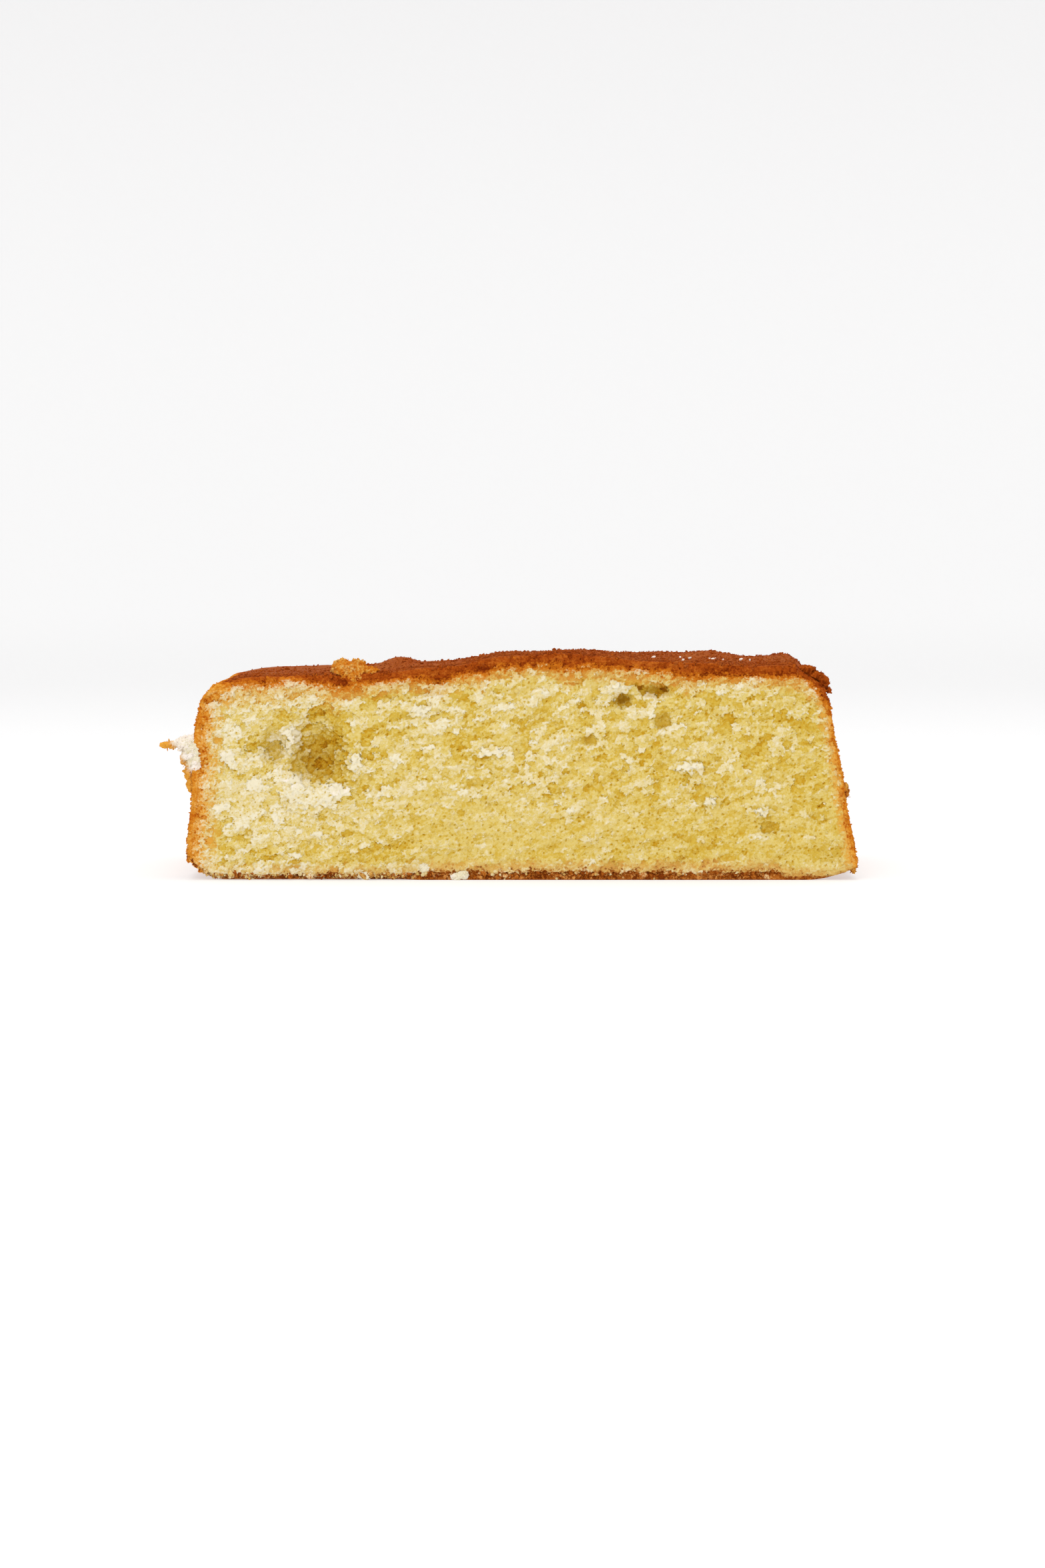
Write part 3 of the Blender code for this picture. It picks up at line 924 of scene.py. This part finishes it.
class Recipe:
    """One material, built up node by node."""

    def __init__(self, name):
        self.material = bpy.data.materials.new(name)
        self.material.use_nodes = True
        self.tree = self.material.node_tree
        self.shader = self.tree.nodes["Principled BSDF"]

    def node(self, kind, settings, sockets, output=0):
        made = self.tree.nodes.new(kind)
        for name, value in settings.items():
            setattr(made, name, value)
        for name, value in sockets.items():
            if isinstance(value, Value):
                self.tree.links.new(value.socket, made.inputs[name])
            else:
                made.inputs[name].default_value = value
        return Value(self, made.outputs[output])

    def attribute(self, name):
        settings = {"attribute_type": "GEOMETRY", "attribute_name": name}
        return self.node("ShaderNodeAttribute", settings, {}, "Fac")

    def millimetres(self):
        """The place on the piece, as a vector in millimetres."""
        place = self.node("ShaderNodeTexCoord", {}, {}, "Object")
        return self.node(
            "ShaderNodeVectorMath", {"operation": "SCALE"}, {0: place, "Scale": 1000.0}
        )

    def noise(self, place, size, detail, roughness=0.5, output=0):
        """Cloudy noise, 0 to 1 about a half, with lumps of this size in millimetres."""
        sockets = {"Vector": place, "Scale": 1 / size, "Detail": detail, "Roughness": roughness}
        return self.node("ShaderNodeTexNoise", {}, sockets, output)

    def bits(self, place, size, wander):
        """A random number from 0 to 1 for each of many ragged bits of this size."""
        stir = self.noise(place, size / 1.5, 3.0, 0.6, output=1)
        add = {"operation": "MULTIPLY_ADD"}
        moved = self.node("ShaderNodeVectorMath", add, {0: stir, 1: (wander,) * 3, 2: place})
        return self.node("ShaderNodeTexVoronoi", {}, {"Vector": moved, "Scale": 1.0 / size}, 1)

    def pores(self, place, size):
        """1 in the middle of scattered pores of many widths, and 0 between them."""
        settings = {"Vector": place, "Scale": 1.0 / size}
        gap = self.node("ShaderNodeTexVoronoi", {}, settings, 0)
        lot = self.node("ShaderNodeTexVoronoi", {}, settings, 1)
        return (lot * 0.5 - gap * 1.4).ramp(0.0, 0.2)

    def blend(self, share, first, second):
        """A colour between two."""
        settings = {"data_type": "RGBA", "clamp_factor": True}
        colours = [c if isinstance(c, Value) else (*c, 1.0) for c in (first, second)]
        return self.node("ShaderNodeMix", settings, {0: share, 6: colours[0], 7: colours[1]}, 2)

    def bump(self, height, distance, strength):
        sockets = {"Height": height, "Distance": distance, "Strength": strength}
        return self.node("ShaderNodeBump", {}, sockets)

    def feed(self, **sockets):
        for name, value in sockets.items():
            socket = self.shader.inputs[name.replace("_", " ")]
            if isinstance(value, Value):
                self.tree.links.new(value.socket, socket)
            else:
                socket.default_value = value
        return self.material


def crumb_material():
    """Torn crumb that browns into skin, by the attributes that every piece carries.
    Ramps over depths are in millimetres, and those over look in steps of the crumb."""
    if "baked_crumb_dressed" in bpy.data.materials:
        return bpy.data.materials["baked_crumb_dressed"]
    tint = bpy.context.scene.cake_colours
    recipe = Recipe("baked_crumb_dressed")
    place = recipe.millimetres()
    under_top, from_wall, over_base, height = (recipe.attribute(name) for name in DEPTHS)

    cloud = recipe.noise(place, 9.0, 3.0) - 0.5
    patch = recipe.noise(place, 2.2, 5.0, 0.65) - 0.5
    speck = recipe.noise(place, 0.55, 4.0, 0.75) - 0.5
    bit = recipe.bits(place, 0.5, 0.5) - 0.5
    pore = recipe.pores(place, 0.8)

    # The crumb is pale on raised torn edges and deeper yellow in hollows and pores, which is
    # painted light and painted shade besides its own random tone. It is more broken at the left,
    # and toasted just inside the skins, most in its hollows, where painted shade also deepens the
    # toasted colour.
    left = recipe.node("ShaderNodeSeparateXYZ", {}, {0: place}, 0).ramp(-40.0, -60.0)
    look = height + bit * 1.0 + speck * 2.2 + cloud * 0.6 - pore * 1.3
    look = look + left * (speck * 1.8 + bit * 0.5 - pore * 1.3 + 0.12)
    painted_hollow_shade = look.ramp(1.4, -1.6)
    in_hole = look.ramp(-2.4, -3.8)
    base_toasted = recipe.blend(painted_hollow_shade * 0.7, tint.toasted_base, tint.base_light)
    top_toasted = recipe.blend(painted_hollow_shade * 0.6, tint.toasted, tint.skin_edge)
    wall_toasted = recipe.blend(painted_hollow_shade * 0.7, tint.toasted, tint.wall_light)

    # The skins are mottled, and their inner edges ragged.
    wander = patch * 2.4 + speck * 1.4 + bit * 0.8 + height * 0.3
    above = over_base + wander
    rim = under_top + wander + cloud * 1.6
    warm = under_top + wander * 1.4 + cloud * 2.0
    inside = from_wall + wander * 1.2 + cloud * 1.6 + 1.2 + left * 0.6
    grain = patch * 1.2 + speck * 1.5 + bit * 0.7 + cloud * 0.8 + height * 0.2
    lighter, darker = grain.ramp(0.0, 0.6), grain.ramp(0.0, -0.6)
    wall, base, skin = (
        recipe.blend(darker, recipe.blend(lighter, plain, light), dark)
        for plain, light, dark in (
            (tint.wall, tint.wall_light, tint.wall_dark),
            (tint.base, tint.base_light, tint.base_dark),
            (tint.skin, tint.skin_light, tint.skin_dark),
        )
    )
    dull = under_top.ramp(0.6, 0.1) * (cloud * 1.6 + patch * 1.2 + 0.5).clamp() * 0.6
    skin = recipe.blend(dull, skin, tint.skin_dull)

    # Each layer lies over those before it. The crumb's layers follow look, and with it the
    # painted light and shade.
    colour = tint.crumb_hole_shade
    for share, layer in (
        (look.ramp(-5.0, -3.4), tint.crumb_deep),
        (look.ramp(-2.8, -1.3), tint.crumb_sunk),
        (look.ramp(-1.3, 0.0), tint.crumb),
        (look.ramp(0.0, 1.2), tint.crumb_light),
        (look.ramp(1.2, 2.4), tint.crumb_pale),
        (look.ramp(3.4, 5.0), tint.crumb_white),
        (above.ramp(6.0, 3.0) * (painted_hollow_shade * 0.6 + 0.15), base_toasted),
        (warm.ramp(7.2, 4.2) * (painted_hollow_shade * 0.5 + 0.4 - in_hole * 0.8), top_toasted),
        (inside.ramp(5.4, 3.0) * (painted_hollow_shade * 0.5 + 0.4), wall_toasted),
        (inside.ramp(3.6, 2.4) * 0.8, tint.wall_light),
        (inside.ramp(2.8, 1.4), wall),
        (above.ramp(3.0, 1.8), base),
        (rim.ramp(4.2, 2.9), tint.skin_edge),
        (rim.ramp(3.1, 1.7), skin),
    ):
        colour = recipe.blend(share, colour, layer)

    normal = recipe.bump(speck * 0.6 + bit * 0.3 + patch * 0.4 - pore * 0.3, 0.0004, 0.6)
    return recipe.feed(
        Base_Color=colour,
        Roughness=0.95 - rim.ramp(2.0, 0.6) * 0.2,
        Normal=normal,
        Specular_IOR_Level=0.03,
    )


# ---------------------------------------------------------------------------
# Modelling helpers.


def start_mesh(adder, name, **settings):
    """Adds a primitive with nothing else selected, and returns it named."""
    bpy.ops.object.select_all(action="DESELECT")
    adder(location=(0, 0, 0), **settings)
    piece = bpy.context.object
    piece.name = piece.data.name = name
    return piece


def points_of(mesh):
    points = np.empty(len(mesh.vertices) * 3)
    mesh.vertices.foreach_get("co", points)
    return points.reshape(-1, 3)


def place_points(mesh, points):
    mesh.vertices.foreach_set("co", points.ravel())
    mesh.update()


def carry_depths(mesh, depths):
    """Gives a mesh the attributes that its crumb and skin colours follow: how far its
    points lie under the top skin, inside the wall and over the base, in millimetres, and
    the height of the crumb, which carries painted light and shade."""
    for name, values in zip(DEPTHS, depths):
        layer = mesh.attributes.new(name, "FLOAT", "POINT")
        spread = np.broadcast_to(np.asarray(values, np.float32), len(mesh.vertices))
        layer.data.foreach_set("value", np.ascontiguousarray(spread))


def finish(piece, *nodes):
    """Rides the piece on the cake's body, in the crumb's slot."""
    piece.data.materials.clear()
    piece.data.materials.append(crumb_material())
    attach(piece, "root")
    if nodes:
        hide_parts(*nodes)


@contextlib.contextmanager
def edit_mode(kind):
    """Edits the active piece by its edges or by its faces."""
    bpy.context.tool_settings.mesh_select_mode = (False, kind == "EDGE", kind == "FACE")
    bpy.ops.object.mode_set(mode="EDIT")
    yield
    bpy.ops.object.mode_set(mode="OBJECT")


def edit_chosen(mesh, kind, chosen, edit, **settings):
    """Edits these edges or faces of the active piece and nothing else."""
    for elements in (mesh.vertices, mesh.edges, mesh.polygons):
        elements.foreach_set("select", np.zeros(len(elements), bool))
    elements = mesh.edges if kind == "EDGE" else mesh.polygons
    elements.foreach_set("select", np.asarray(chosen, bool))
    with edit_mode(kind):
        edit(**settings)


def split_edges(mesh, axis, cuts):
    """Cuts every edge along an axis into cuts + 1 parts."""
    ends = np.empty(len(mesh.edges) * 2, int)
    mesh.edges.foreach_get("vertices", ends)
    ends = points_of(mesh)[ends.reshape(-1, 2)]
    along = np.abs(ends[:, 0, axis] - ends[:, 1, axis]) > 1e-6
    edit_chosen(mesh, "EDGE", along, bpy.ops.mesh.subdivide, number_cuts=cuts)


def faces_within(mesh, kept):
    """Which faces have all of their corners among the kept points."""
    return [all(kept[v] for v in face.vertices) for face in mesh.polygons]


def join_copies(name, shape, faces, places, turns, sizes):
    """One mesh of many copies of a small shape, each turned, sized and placed."""
    count, corners = len(places), len(shape)
    shaped = np.einsum("nij,nvj->nvi", turns, shape[None] * sizes[:, None, :])
    points = (shaped + places[:, None, :]).reshape(-1, 3)
    indices = (faces[None] + (np.arange(count) * corners)[:, None, None]).reshape(-1, 3)
    mesh = bpy.data.meshes.new(name)
    mesh.from_pydata(points.tolist(), [], indices.tolist())
    mesh.update()
    piece = bpy.data.objects.new(name, mesh)
    bpy.context.scene.collection.objects.link(piece)
    return piece, points


def ball(detail):
    """Corners and triangles of a small ball of radius 1."""
    adder = bpy.ops.mesh.primitive_ico_sphere_add
    piece = start_mesh(adder, "ball", subdivisions=detail, radius=1.0)
    corners = points_of(piece.data)
    faces = np.array([face.vertices[:] for face in piece.data.polygons])
    bpy.data.objects.remove(piece)
    return corners, faces


def turns_about(draw, count):
    """Random rotations, as matrices."""
    spin = draw.normal(size=(count, 4))
    w, x, y, z = (spin / np.linalg.norm(spin, axis=1)[:, None]).T
    rows = (
        (1 - 2 * (y * y + z * z), 2 * (x * y - z * w), 2 * (x * z + y * w)),
        (2 * (x * y + z * w), 1 - 2 * (x * x + z * z), 2 * (y * z - x * w)),
        (2 * (x * z - y * w), 2 * (y * z + x * w), 1 - 2 * (x * x + y * y)),
    )
    return np.stack([np.stack(row, axis=1) for row in rows], axis=1)


def numbers_of(mesh, name):
    values = np.empty(len(mesh.vertices), np.float32)
    mesh.attributes[name].data.foreach_get("value", values)
    return values


def normals_of(mesh):
    normals = np.empty(len(mesh.vertices) * 3)
    mesh.vertex_normals.foreach_get("vector", normals)
    return normals.reshape(-1, 3)


# ---------------------------------------------------------------------------
# The pieces.


class CAKE_OT_body(bpy.types.Operator):
    """The half cake with its baked skins, and the edge of its torn side"""

    bl_idname = "cake.body"
    bl_label = "Body"

    def execute(self, context):
        body = start_mesh(bpy.ops.mesh.primitive_cube_add, "cake_body", size=1)
        mesh = body.data
        subdivide = bpy.ops.mesh.subdivide
        for axis, rounds in enumerate(CELLS):
            for parts in rounds:
                split_edges(mesh, axis, parts - 1)
        x, y, z = (points_of(mesh) * BLOCK).T
        to_edge = np.minimum(LENGTH / 2 - np.abs(x), RIM_HEIGHT / 2 - np.abs(z))
        near = faces_within(mesh, (to_edge < RIM_WIDTH) & (y + DEPTH / 2 < RIM_WIDTH))
        edit_chosen(mesh, "FACE", near, subdivide, number_cuts=RIM_CUTS)
        x, y, z = (points_of(mesh) * BLOCK).T
        on_top = (z > RIM_HEIGHT / 2 - 0.01 * MM) & (y + DEPTH / 2 > RIM_WIDTH - 1 * MM)
        on_top = faces_within(mesh, on_top & (y < FINE_TOP))
        edit_chosen(mesh, "FACE", on_top, subdivide, number_cuts=1)

        block = points_of(mesh) * (LENGTH, DEPTH, 1) + (0, 0, 0.5)
        to_edge = cut_margin(block[:, 0], block[:, 2])
        in_middle = smooth((to_edge - 1.6 * MM) / (1.0 * MM))
        on_cut = block[:, 1] < -DEPTH / 2 + 0.01 * MM
        points, depths = cake_points(block, RECESS * in_middle * on_cut)
        points[:, 2] = np.maximum(points[:, 2], 0)
        place_points(mesh, points)
        carry_depths(mesh, depths)
        underside = faces_within(mesh, points[:, 2] < 0.02 * MM)
        edit_chosen(mesh, "FACE", underside, bpy.ops.mesh.dissolve_faces)
        bpy.ops.object.shade_smooth()
        finish(body, "cake")
        return {"FINISHED"}


def cut_margin(x, share):
    """Rough distance from a point of the cut to its nearest edge."""
    middle = 0.5 - np.abs(share - 0.5)
    return np.minimum(LENGTH / 2 - np.abs(x), middle * RIM_HEIGHT)


class CAKE_OT_crumb(bpy.types.Operator):
    """The torn side: three sheets of fine crumb, edge to edge, set into the body"""

    bl_idname = "cake.crumb"
    bl_label = "Torn crumb"

    def execute(self, context):
        for name, start, end in SHEETS:
            self.make_sheet(name, start, end, context.scene.cake_sizes.sheet_step)
        return {"FINISHED"}

    def make_sheet(self, name, start, end, step):
        piece = start_mesh(
            bpy.ops.mesh.primitive_grid_add,
            name,
            x_subdivisions=round((end - start) / step),
            y_subdivisions=round((RIM_HEIGHT - 2 * SHEET_MARGIN) / step),
            size=1,
        )
        mesh = piece.data
        across, up, _ = (points_of(mesh) + 0.5).T
        x = mix(start, end, across)
        share = mix(SHEET_MARGIN, RIM_HEIGHT - SHEET_MARGIN, up) / RIM_HEIGHT
        block = np.stack((x, np.full(len(x), -DEPTH / 2), share), axis=1)
        points, depths = cake_points(block)
        # Painted shade: the crumb is deeper in colour where it lies behind the crumb round it.
        depths[3] -= RECESS_SHADE_TONE * self.painted_relief_shading(points[:, 1], round((end - start) / step) + 1)
        dip = 1 - smooth((cut_margin(x, share) - SHEET_MARGIN) / (0.8 * MM))
        points[:, 1] += SHEET_DIP * dip - 0.05 * MM
        place_points(mesh, points)
        # Painted shade: deeper colour on sides that face down or aside, and on the steep walls of
        # hollows.
        _, ahead, up = normals_of(mesh).T
        aside = smooth((ahead + 0.75) / 0.6)
        depths[3] -= UNDERSIDE_SHADE_TONE * aside * np.clip(0.7 - up, 0, 1.4)
        steep = 0.7 * smooth((ahead + 0.5) / 0.4)
        depths[3] = mix(depths[3], np.minimum(depths[3], STEEP_SHADE_TONE), steep)
        carry_depths(mesh, depths)
        self.close_behind(piece)
        finish(piece)

    def painted_relief_shading(self, y, columns):
        """How far, in millimetres, each point lies behind those round it."""
        depth = y.reshape(-1, columns) / MM
        level = depth
        for _ in range(SUNK_REACH):
            edged = np.pad(level, 1, mode="edge")
            sides = edged[1:-1, :-2] + edged[1:-1, 2:] + edged[:-2, 1:-1] + edged[2:, 1:-1]
            level = (sides + 4 * level) / 8
        return np.clip(depth - level, -MOST_SUNK, MOST_SUNK).ravel()

    def close_behind(self, piece):
        """Draws the sheet's edge straight back and closes it there with one face."""
        mesh = piece.data
        with edit_mode("EDGE"):
            bpy.ops.mesh.select_all(action="DESELECT")
            bpy.ops.mesh.select_non_manifold(extend=False)
            bpy.ops.mesh.mark_sharp()
            bpy.ops.mesh.extrude_edges_move(TRANSFORM_OT_translate={"value": (0, 20 * MM, 0)})
        moved = np.empty(len(mesh.vertices), bool)
        mesh.vertices.foreach_get("select", moved)
        points = points_of(mesh)
        points[moved, 1] = SHEET_BACK
        place_points(mesh, points)
        with edit_mode("EDGE"):
            bpy.ops.mesh.edge_face_add()
            bpy.ops.mesh.select_all(action="SELECT")
            bpy.ops.mesh.normals_make_consistent(inside=False)
        bpy.ops.object.shade_smooth()


class CAKE_OT_grains(bpy.types.Operator):
    """Loose grains on the torn crumb, flakes on the skin, and white specks on top"""

    bl_idname = "cake.grains"
    bl_label = "Grains and flakes"

    def execute(self, context):
        sizes = context.scene.cake_sizes
        body = bpy.data.objects["cake_body"].data
        sheets = [bpy.data.objects[name].data for name, *_ in SHEETS]
        draw = np.random.default_rng(SEED + 3)

        points, normals, depths = ground = self.gather([*sheets, body])
        usable = (normals[:, 1] < -0.3) & (points[:, 1] < -DEPTH / 2 + GRAIN_REACH)
        usable &= (points[:, 2] > 1.2 * MM) & (depths[3] < 1.5)
        chosen = draw.choice(np.flatnonzero(usable), sizes.grain_count, replace=False)
        self.sow("crumb_grains", draw, ground, chosen, 3, (0.25, 0.5), sizes.grain_size)

        points, normals, depths = ground = self.gather([body])
        behind = np.maximum(points[:, 1] + DEPTH / 2, 0)
        on_top = (depths[0] < 0.5) & (normals[:, 2] > 0.5) & (behind > 0.5 * MM)
        weight = on_top * (np.exp(-behind / (14 * MM)) + 0.12)
        chosen = draw.choice(len(points), TOP_GRAINS, replace=False, p=weight / weight.sum())
        self.sow("top_grains", draw, ground, chosen, 0, (0.2, 0.5), TOP_GRAIN)

        usable = (np.minimum(depths[0], depths[1]) < 1.2) & (behind < FLAKE_REACH)
        usable &= (points[:, 2] > 2 * MM) & (normals[:, 1] > -0.9) & (normals[:, 2] > -0.5)
        chosen = draw.choice(np.flatnonzero(usable), sizes.flake_count, replace=False)
        rows, shift = slice(0, 2), (0.0, 0.5)
        self.sow("skin_flakes", draw, ground, chosen, rows, shift, sizes.flake_size, 0.42)

        usable = (depths[2] < 3.4) & (points[:, 2] > 0.3 * MM) & (points[:, 0] < BAND_END)
        usable &= (normals[:, 1] < -0.2) & (points[:, 1] < -DEPTH / 2 + GRAIN_REACH)
        chosen = draw.choice(np.flatnonzero(usable), BASE_GRAINS, replace=False)
        own = depths[:, chosen]
        own[2] += draw.normal(0.1, 0.6, len(chosen))
        own[3] = np.minimum(draw.normal(0.0, 1.6, len(chosen)), 1.2)
        self.scatter("base_grains", draw, points[chosen], normals[chosen], own, BASE_GRAIN, 0.5)

        x, y = (np.array(SPECKS)[:, :2] * MM).T
        _, top, *_ = skins(x, y)
        places = np.stack((x, y, top), axis=1)
        own = np.tile(((9.0,), (9.0,), (9.0,), (6.4,)), len(places))
        upright = np.tile((0, 0, 1.0), (len(places), 1))
        widths = np.array(SPECKS)[:, 2] * MM
        self.scatter("white_specks", draw, places, upright, own, widths)
        return {"FINISHED"}

    def gather(self, meshes):
        points = np.concatenate([points_of(mesh) for mesh in meshes])
        normals = np.concatenate([normals_of(mesh) for mesh in meshes])
        depths = [np.concatenate([numbers_of(m, name) for m in meshes]) for name in DEPTHS]
        return points, normals, np.array(depths)

    def sow(self, name, draw, ground, chosen, rows, shift, size, spread=0.35):
        """Scatters grains over chosen points of the ground, with these rows of their
        depths shifted at random."""
        points, normals, depths = ground
        own = depths[:, chosen]
        own[rows] += draw.normal(*shift, len(chosen))
        self.scatter(name, draw, points[chosen], normals[chosen], own, size, spread)

    def scatter(self, name, draw, places, normals, depths, size, spread=0.35):
        """Joins ragged grains at these places into one piece."""
        count = len(places)
        scale = size * draw.lognormal(0.0, spread, count)
        places = places + normals * (scale * 0.2)[:, None]
        aside = draw.uniform(-GRAIN_STRAY, GRAIN_STRAY, (count, 3))
        places += aside - normals * np.sum(aside * normals, axis=1)[:, None]
        sizes = scale[:, None] * draw.uniform(0.5, 1.3, (count, 3))
        corners, faces = ball(1)
        turns = turns_about(draw, count)
        piece, spread = join_copies(name, corners, faces, places, turns, sizes)
        centre = np.repeat(places, len(corners), axis=0)
        reach = np.repeat(scale, len(corners))[:, None]
        push = GRAIN.rough(spread / (reach * 0.9), 2, 0.8)
        spread = centre + (spread - centre) * (1 + 0.8 * push)[:, None]
        # None of them reaches below the table.
        lowest = spread[:, 2].reshape(count, -1).min(axis=1)
        spread[:, 2] += np.repeat(np.maximum(0.02 * MM - lowest, 0), len(corners))
        place_points(piece.data, spread)
        carry_depths(piece.data, np.repeat(depths, len(corners), axis=1))
        finish(piece)


class CAKE_OT_crags(bpy.types.Operator):
    """The flap torn from the left wall, and the lumps on the skin and at the base"""

    bl_idname = "cake.crags"
    bl_label = "Crags"

    def execute(self, context):
        for crags in CRAGS:
            self.make_crags(crags)
        return {"FINISHED"}

    def make_crags(self, crags):
        """Lumps covered in small tufts, under one skin."""
        draw = np.random.default_rng(SEED + 5)
        centres, half_sizes = np.split(np.array(crags.lumps) * MM, 2, axis=1)
        out = draw.normal(size=(len(centres), TUFTS, 3))
        out /= np.linalg.norm(out, axis=2)[:, :, None]
        tufts = (centres[:, None] + out * half_sizes[:, None]).reshape(-1, 3)
        widths = crags.tuft * MM * draw.lognormal(-0.1, 0.4, (len(tufts), 3)) * (0.75, 0.75, 1.7)
        places = np.concatenate((centres, tufts))
        sizes = np.concatenate((half_sizes, widths))
        turns = turns_about(draw, len(places))
        turns[: len(centres)] = np.eye(3)
        piece, _ = join_copies(crags.name, *ball(2), places, turns, sizes)
        bpy.ops.object.select_all(action="DESELECT")
        piece.select_set(True)
        bpy.context.view_layer.objects.active = piece
        skin = piece.modifiers.new("one_skin", "REMESH")
        skin.mode = "VOXEL"
        skin.voxel_size = CRAG_GRAIN
        bpy.ops.object.modifier_apply(modifier=skin.name)
        self.roughen(piece.data, crags)
        bpy.ops.object.shade_smooth()
        finish(piece)

    def roughen(self, mesh, crags):
        points = points_of(mesh)
        x, y, z = points.T
        bits = crumb(x + 0.7 * y + 60 * MM, z + 0.6 * y)
        lumps = TORN.rough(points / (1.5 * MM), 4, 0.75)
        reach = 0.35 * lumps * MM + 0.6 * CRUMB_STEP * bits.height
        points = points + normals_of(mesh) * reach[:, None]
        points[:, 2] = np.maximum(points[:, 2], 0.05 * MM)
        place_points(mesh, points)
        under_top, from_wall, over_base = crags.depths
        if crags.name == "torn_flap":
            from_wall = self.from_crust(points / MM)
        height = bits.height * 0.8 + crags.pale
        carry_depths(mesh, (under_top, from_wall, over_base, height))

    def from_crust(self, points):
        """How far points of the flap lie inside its browned underside."""
        along_x, along_z = FLAP_FOOT[0] - FLAP_TIP[0], FLAP_FOOT[1] - FLAP_TIP[1]
        off_x, off_z = points[:, 0] - FLAP_TIP[0], points[:, 2] - FLAP_TIP[1]
        over = (along_x * off_z - along_z * off_x) / math.hypot(along_x, along_z)
        return over * 1.5 - FLAP_CRUST


class CAKE_OT_stage(bpy.types.Operator):
    """Plain pale surroundings, soft light and the camera"""

    bl_idname = "cake.stage"
    bl_label = "Stage"

    def execute(self, context):
        settings = context.scene.cake_stage
        self.make_bowl()
        self.make_lights(context, settings)
        self.make_camera(context, settings)
        context.scene.view_settings.view_transform = "Standard"
        context.scene.view_settings.look = "None"
        return {"FINISHED"}

    def make_bowl(self):
        """A round pale floor that sweeps up into a wall all the way round."""
        bowl = start_mesh(
            bpy.ops.mesh.primitive_circle_add,
            "stage_bowl",
            vertices=96,
            radius=BOWL_FLOOR,
            fill_type="NGON",
        )
        with edit_mode("EDGE"):
            bpy.ops.mesh.select_all(action="SELECT")
            bpy.ops.mesh.region_to_loop()
            radius, height = BOWL_FLOOR, 0.0
            for step in range(1, BOWL_STEPS + 1):
                angle = math.pi / 2 * step / BOWL_STEPS
                new_radius = BOWL_FLOOR + BOWL_SWEEP * math.sin(angle)
                new_height = BOWL_SWEEP * (1 - math.cos(angle))
                self.raise_wall(radius, new_radius, new_height - height)
                radius, height = new_radius, new_height
            self.raise_wall(radius, radius, BOWL_HEIGHT - height)
            bpy.ops.mesh.select_all(action="SELECT")
            bpy.ops.mesh.normals_make_consistent(inside=True)
        bpy.ops.object.shade_smooth()
        recipe = Recipe("pale_stage")
        place = recipe.millimetres()
        up = recipe.node("ShaderNodeSeparateXYZ", {}, {0: place}, 2)
        glow = recipe.blend(up.ramp(150.0, 900.0), WALL_GLOW, HIGH_GLOW)
        glow = recipe.blend(up.ramp(40.0, 1.0), glow, FLOOR_GLOW)
        recipe.feed(
            Base_Color=(STAGE_ALBEDO, STAGE_ALBEDO, STAGE_ALBEDO, 1),
            Roughness=1.0,
            Specular_IOR_Level=0.0,
            Emission_Color=glow,
            Emission_Strength=STAGE_GLOW,
        )
        bowl.data.materials.append(recipe.material)

    def raise_wall(self, radius, new_radius, rise):
        bpy.ops.mesh.extrude_edges_move(TRANSFORM_OT_translate={"value": (0, 0, rise)})
        spread = new_radius / radius
        bpy.ops.transform.resize(value=(spread, spread, 1))

    def make_lights(self, context, settings):
        world = bpy.data.worlds.new("pale_room")
        world.use_nodes = True
        background = world.node_tree.nodes["Background"]
        background.inputs["Color"].default_value = SURROUND_COLOUR
        background.inputs["Strength"].default_value = settings.surround
        context.scene.world = world
        self.add_lamp("top_light", *TOP_LAMP, settings.top_light)
        self.add_lamp("front_light", *FRONT_LAMP, settings.front_light)

    def add_lamp(self, name, place, size, power):
        """A large soft round lamp that faces the cake."""
        bpy.ops.object.light_add(type="AREA", location=place)
        lamp = bpy.context.object
        lamp.name = name
        lamp.data.shape = "DISK"
        lamp.data.size = size
        lamp.data.energy = power
        aim = Vector(LAMP_AIM) - lamp.location
        lamp.rotation_euler = aim.to_track_quat("-Z", "Y").to_euler()

    def make_camera(self, context, settings):
        angle = settings.camera_height
        away = Vector((0, -math.cos(angle), math.sin(angle))) * settings.camera_distance
        place = Vector(CAMERA_AIM) + away
        bpy.ops.object.camera_add(location=place, rotation=(math.pi / 2 - angle, 0, 0))
        camera = context.object
        camera.name = "camera"
        camera.data.sensor_width = 36
        camera.data.lens = settings.focal_length
        camera.data.clip_start = 0.05
        camera.data.clip_end = 20
        context.scene.camera = camera


PIECES = (CAKE_OT_body, CAKE_OT_crumb, CAKE_OT_grains, CAKE_OT_crags, CAKE_OT_stage)


class CAKE_PT_panel(bpy.types.Panel):
    """Lists the cake's pieces and settings"""

    bl_idname = "CAKE_PT_panel"
    bl_label = "Butter Cake"
    bl_space_type = "VIEW_3D"
    bl_region_type = "UI"
    bl_category = "Butter Cake"

    def draw(self, context):
        for group in ("cake_sizes", "cake_colours", "cake_stage"):
            box = self.layout.box()
            settings = getattr(context.scene, group)
            for name in type(settings).__annotations__:
                box.prop(settings, name)
        for piece in PIECES:
            self.layout.operator(piece.bl_idname)


SETTINGS = {
    "cake_sizes": CakeSizes,
    "cake_colours": CakeColours,
    "cake_stage": StageSettings,
}
CLASSES = (*SETTINGS.values(), *PIECES, CAKE_PT_panel)


def register():
    for made in CLASSES:
        bpy.utils.register_class(made)
    for name, group in SETTINGS.items():
        setattr(bpy.types.Scene, name, bpy.props.PointerProperty(type=group))


def unregister():
    for name in SETTINGS:
        delattr(bpy.types.Scene, name)
    for made in reversed(CLASSES):
        bpy.utils.unregister_class(made)


def main():
    register()
    for piece in PIECES:
        category, name = piece.bl_idname.split(".")
        getattr(getattr(bpy.ops, category), name)()


if __name__ == "__main__":
    main()
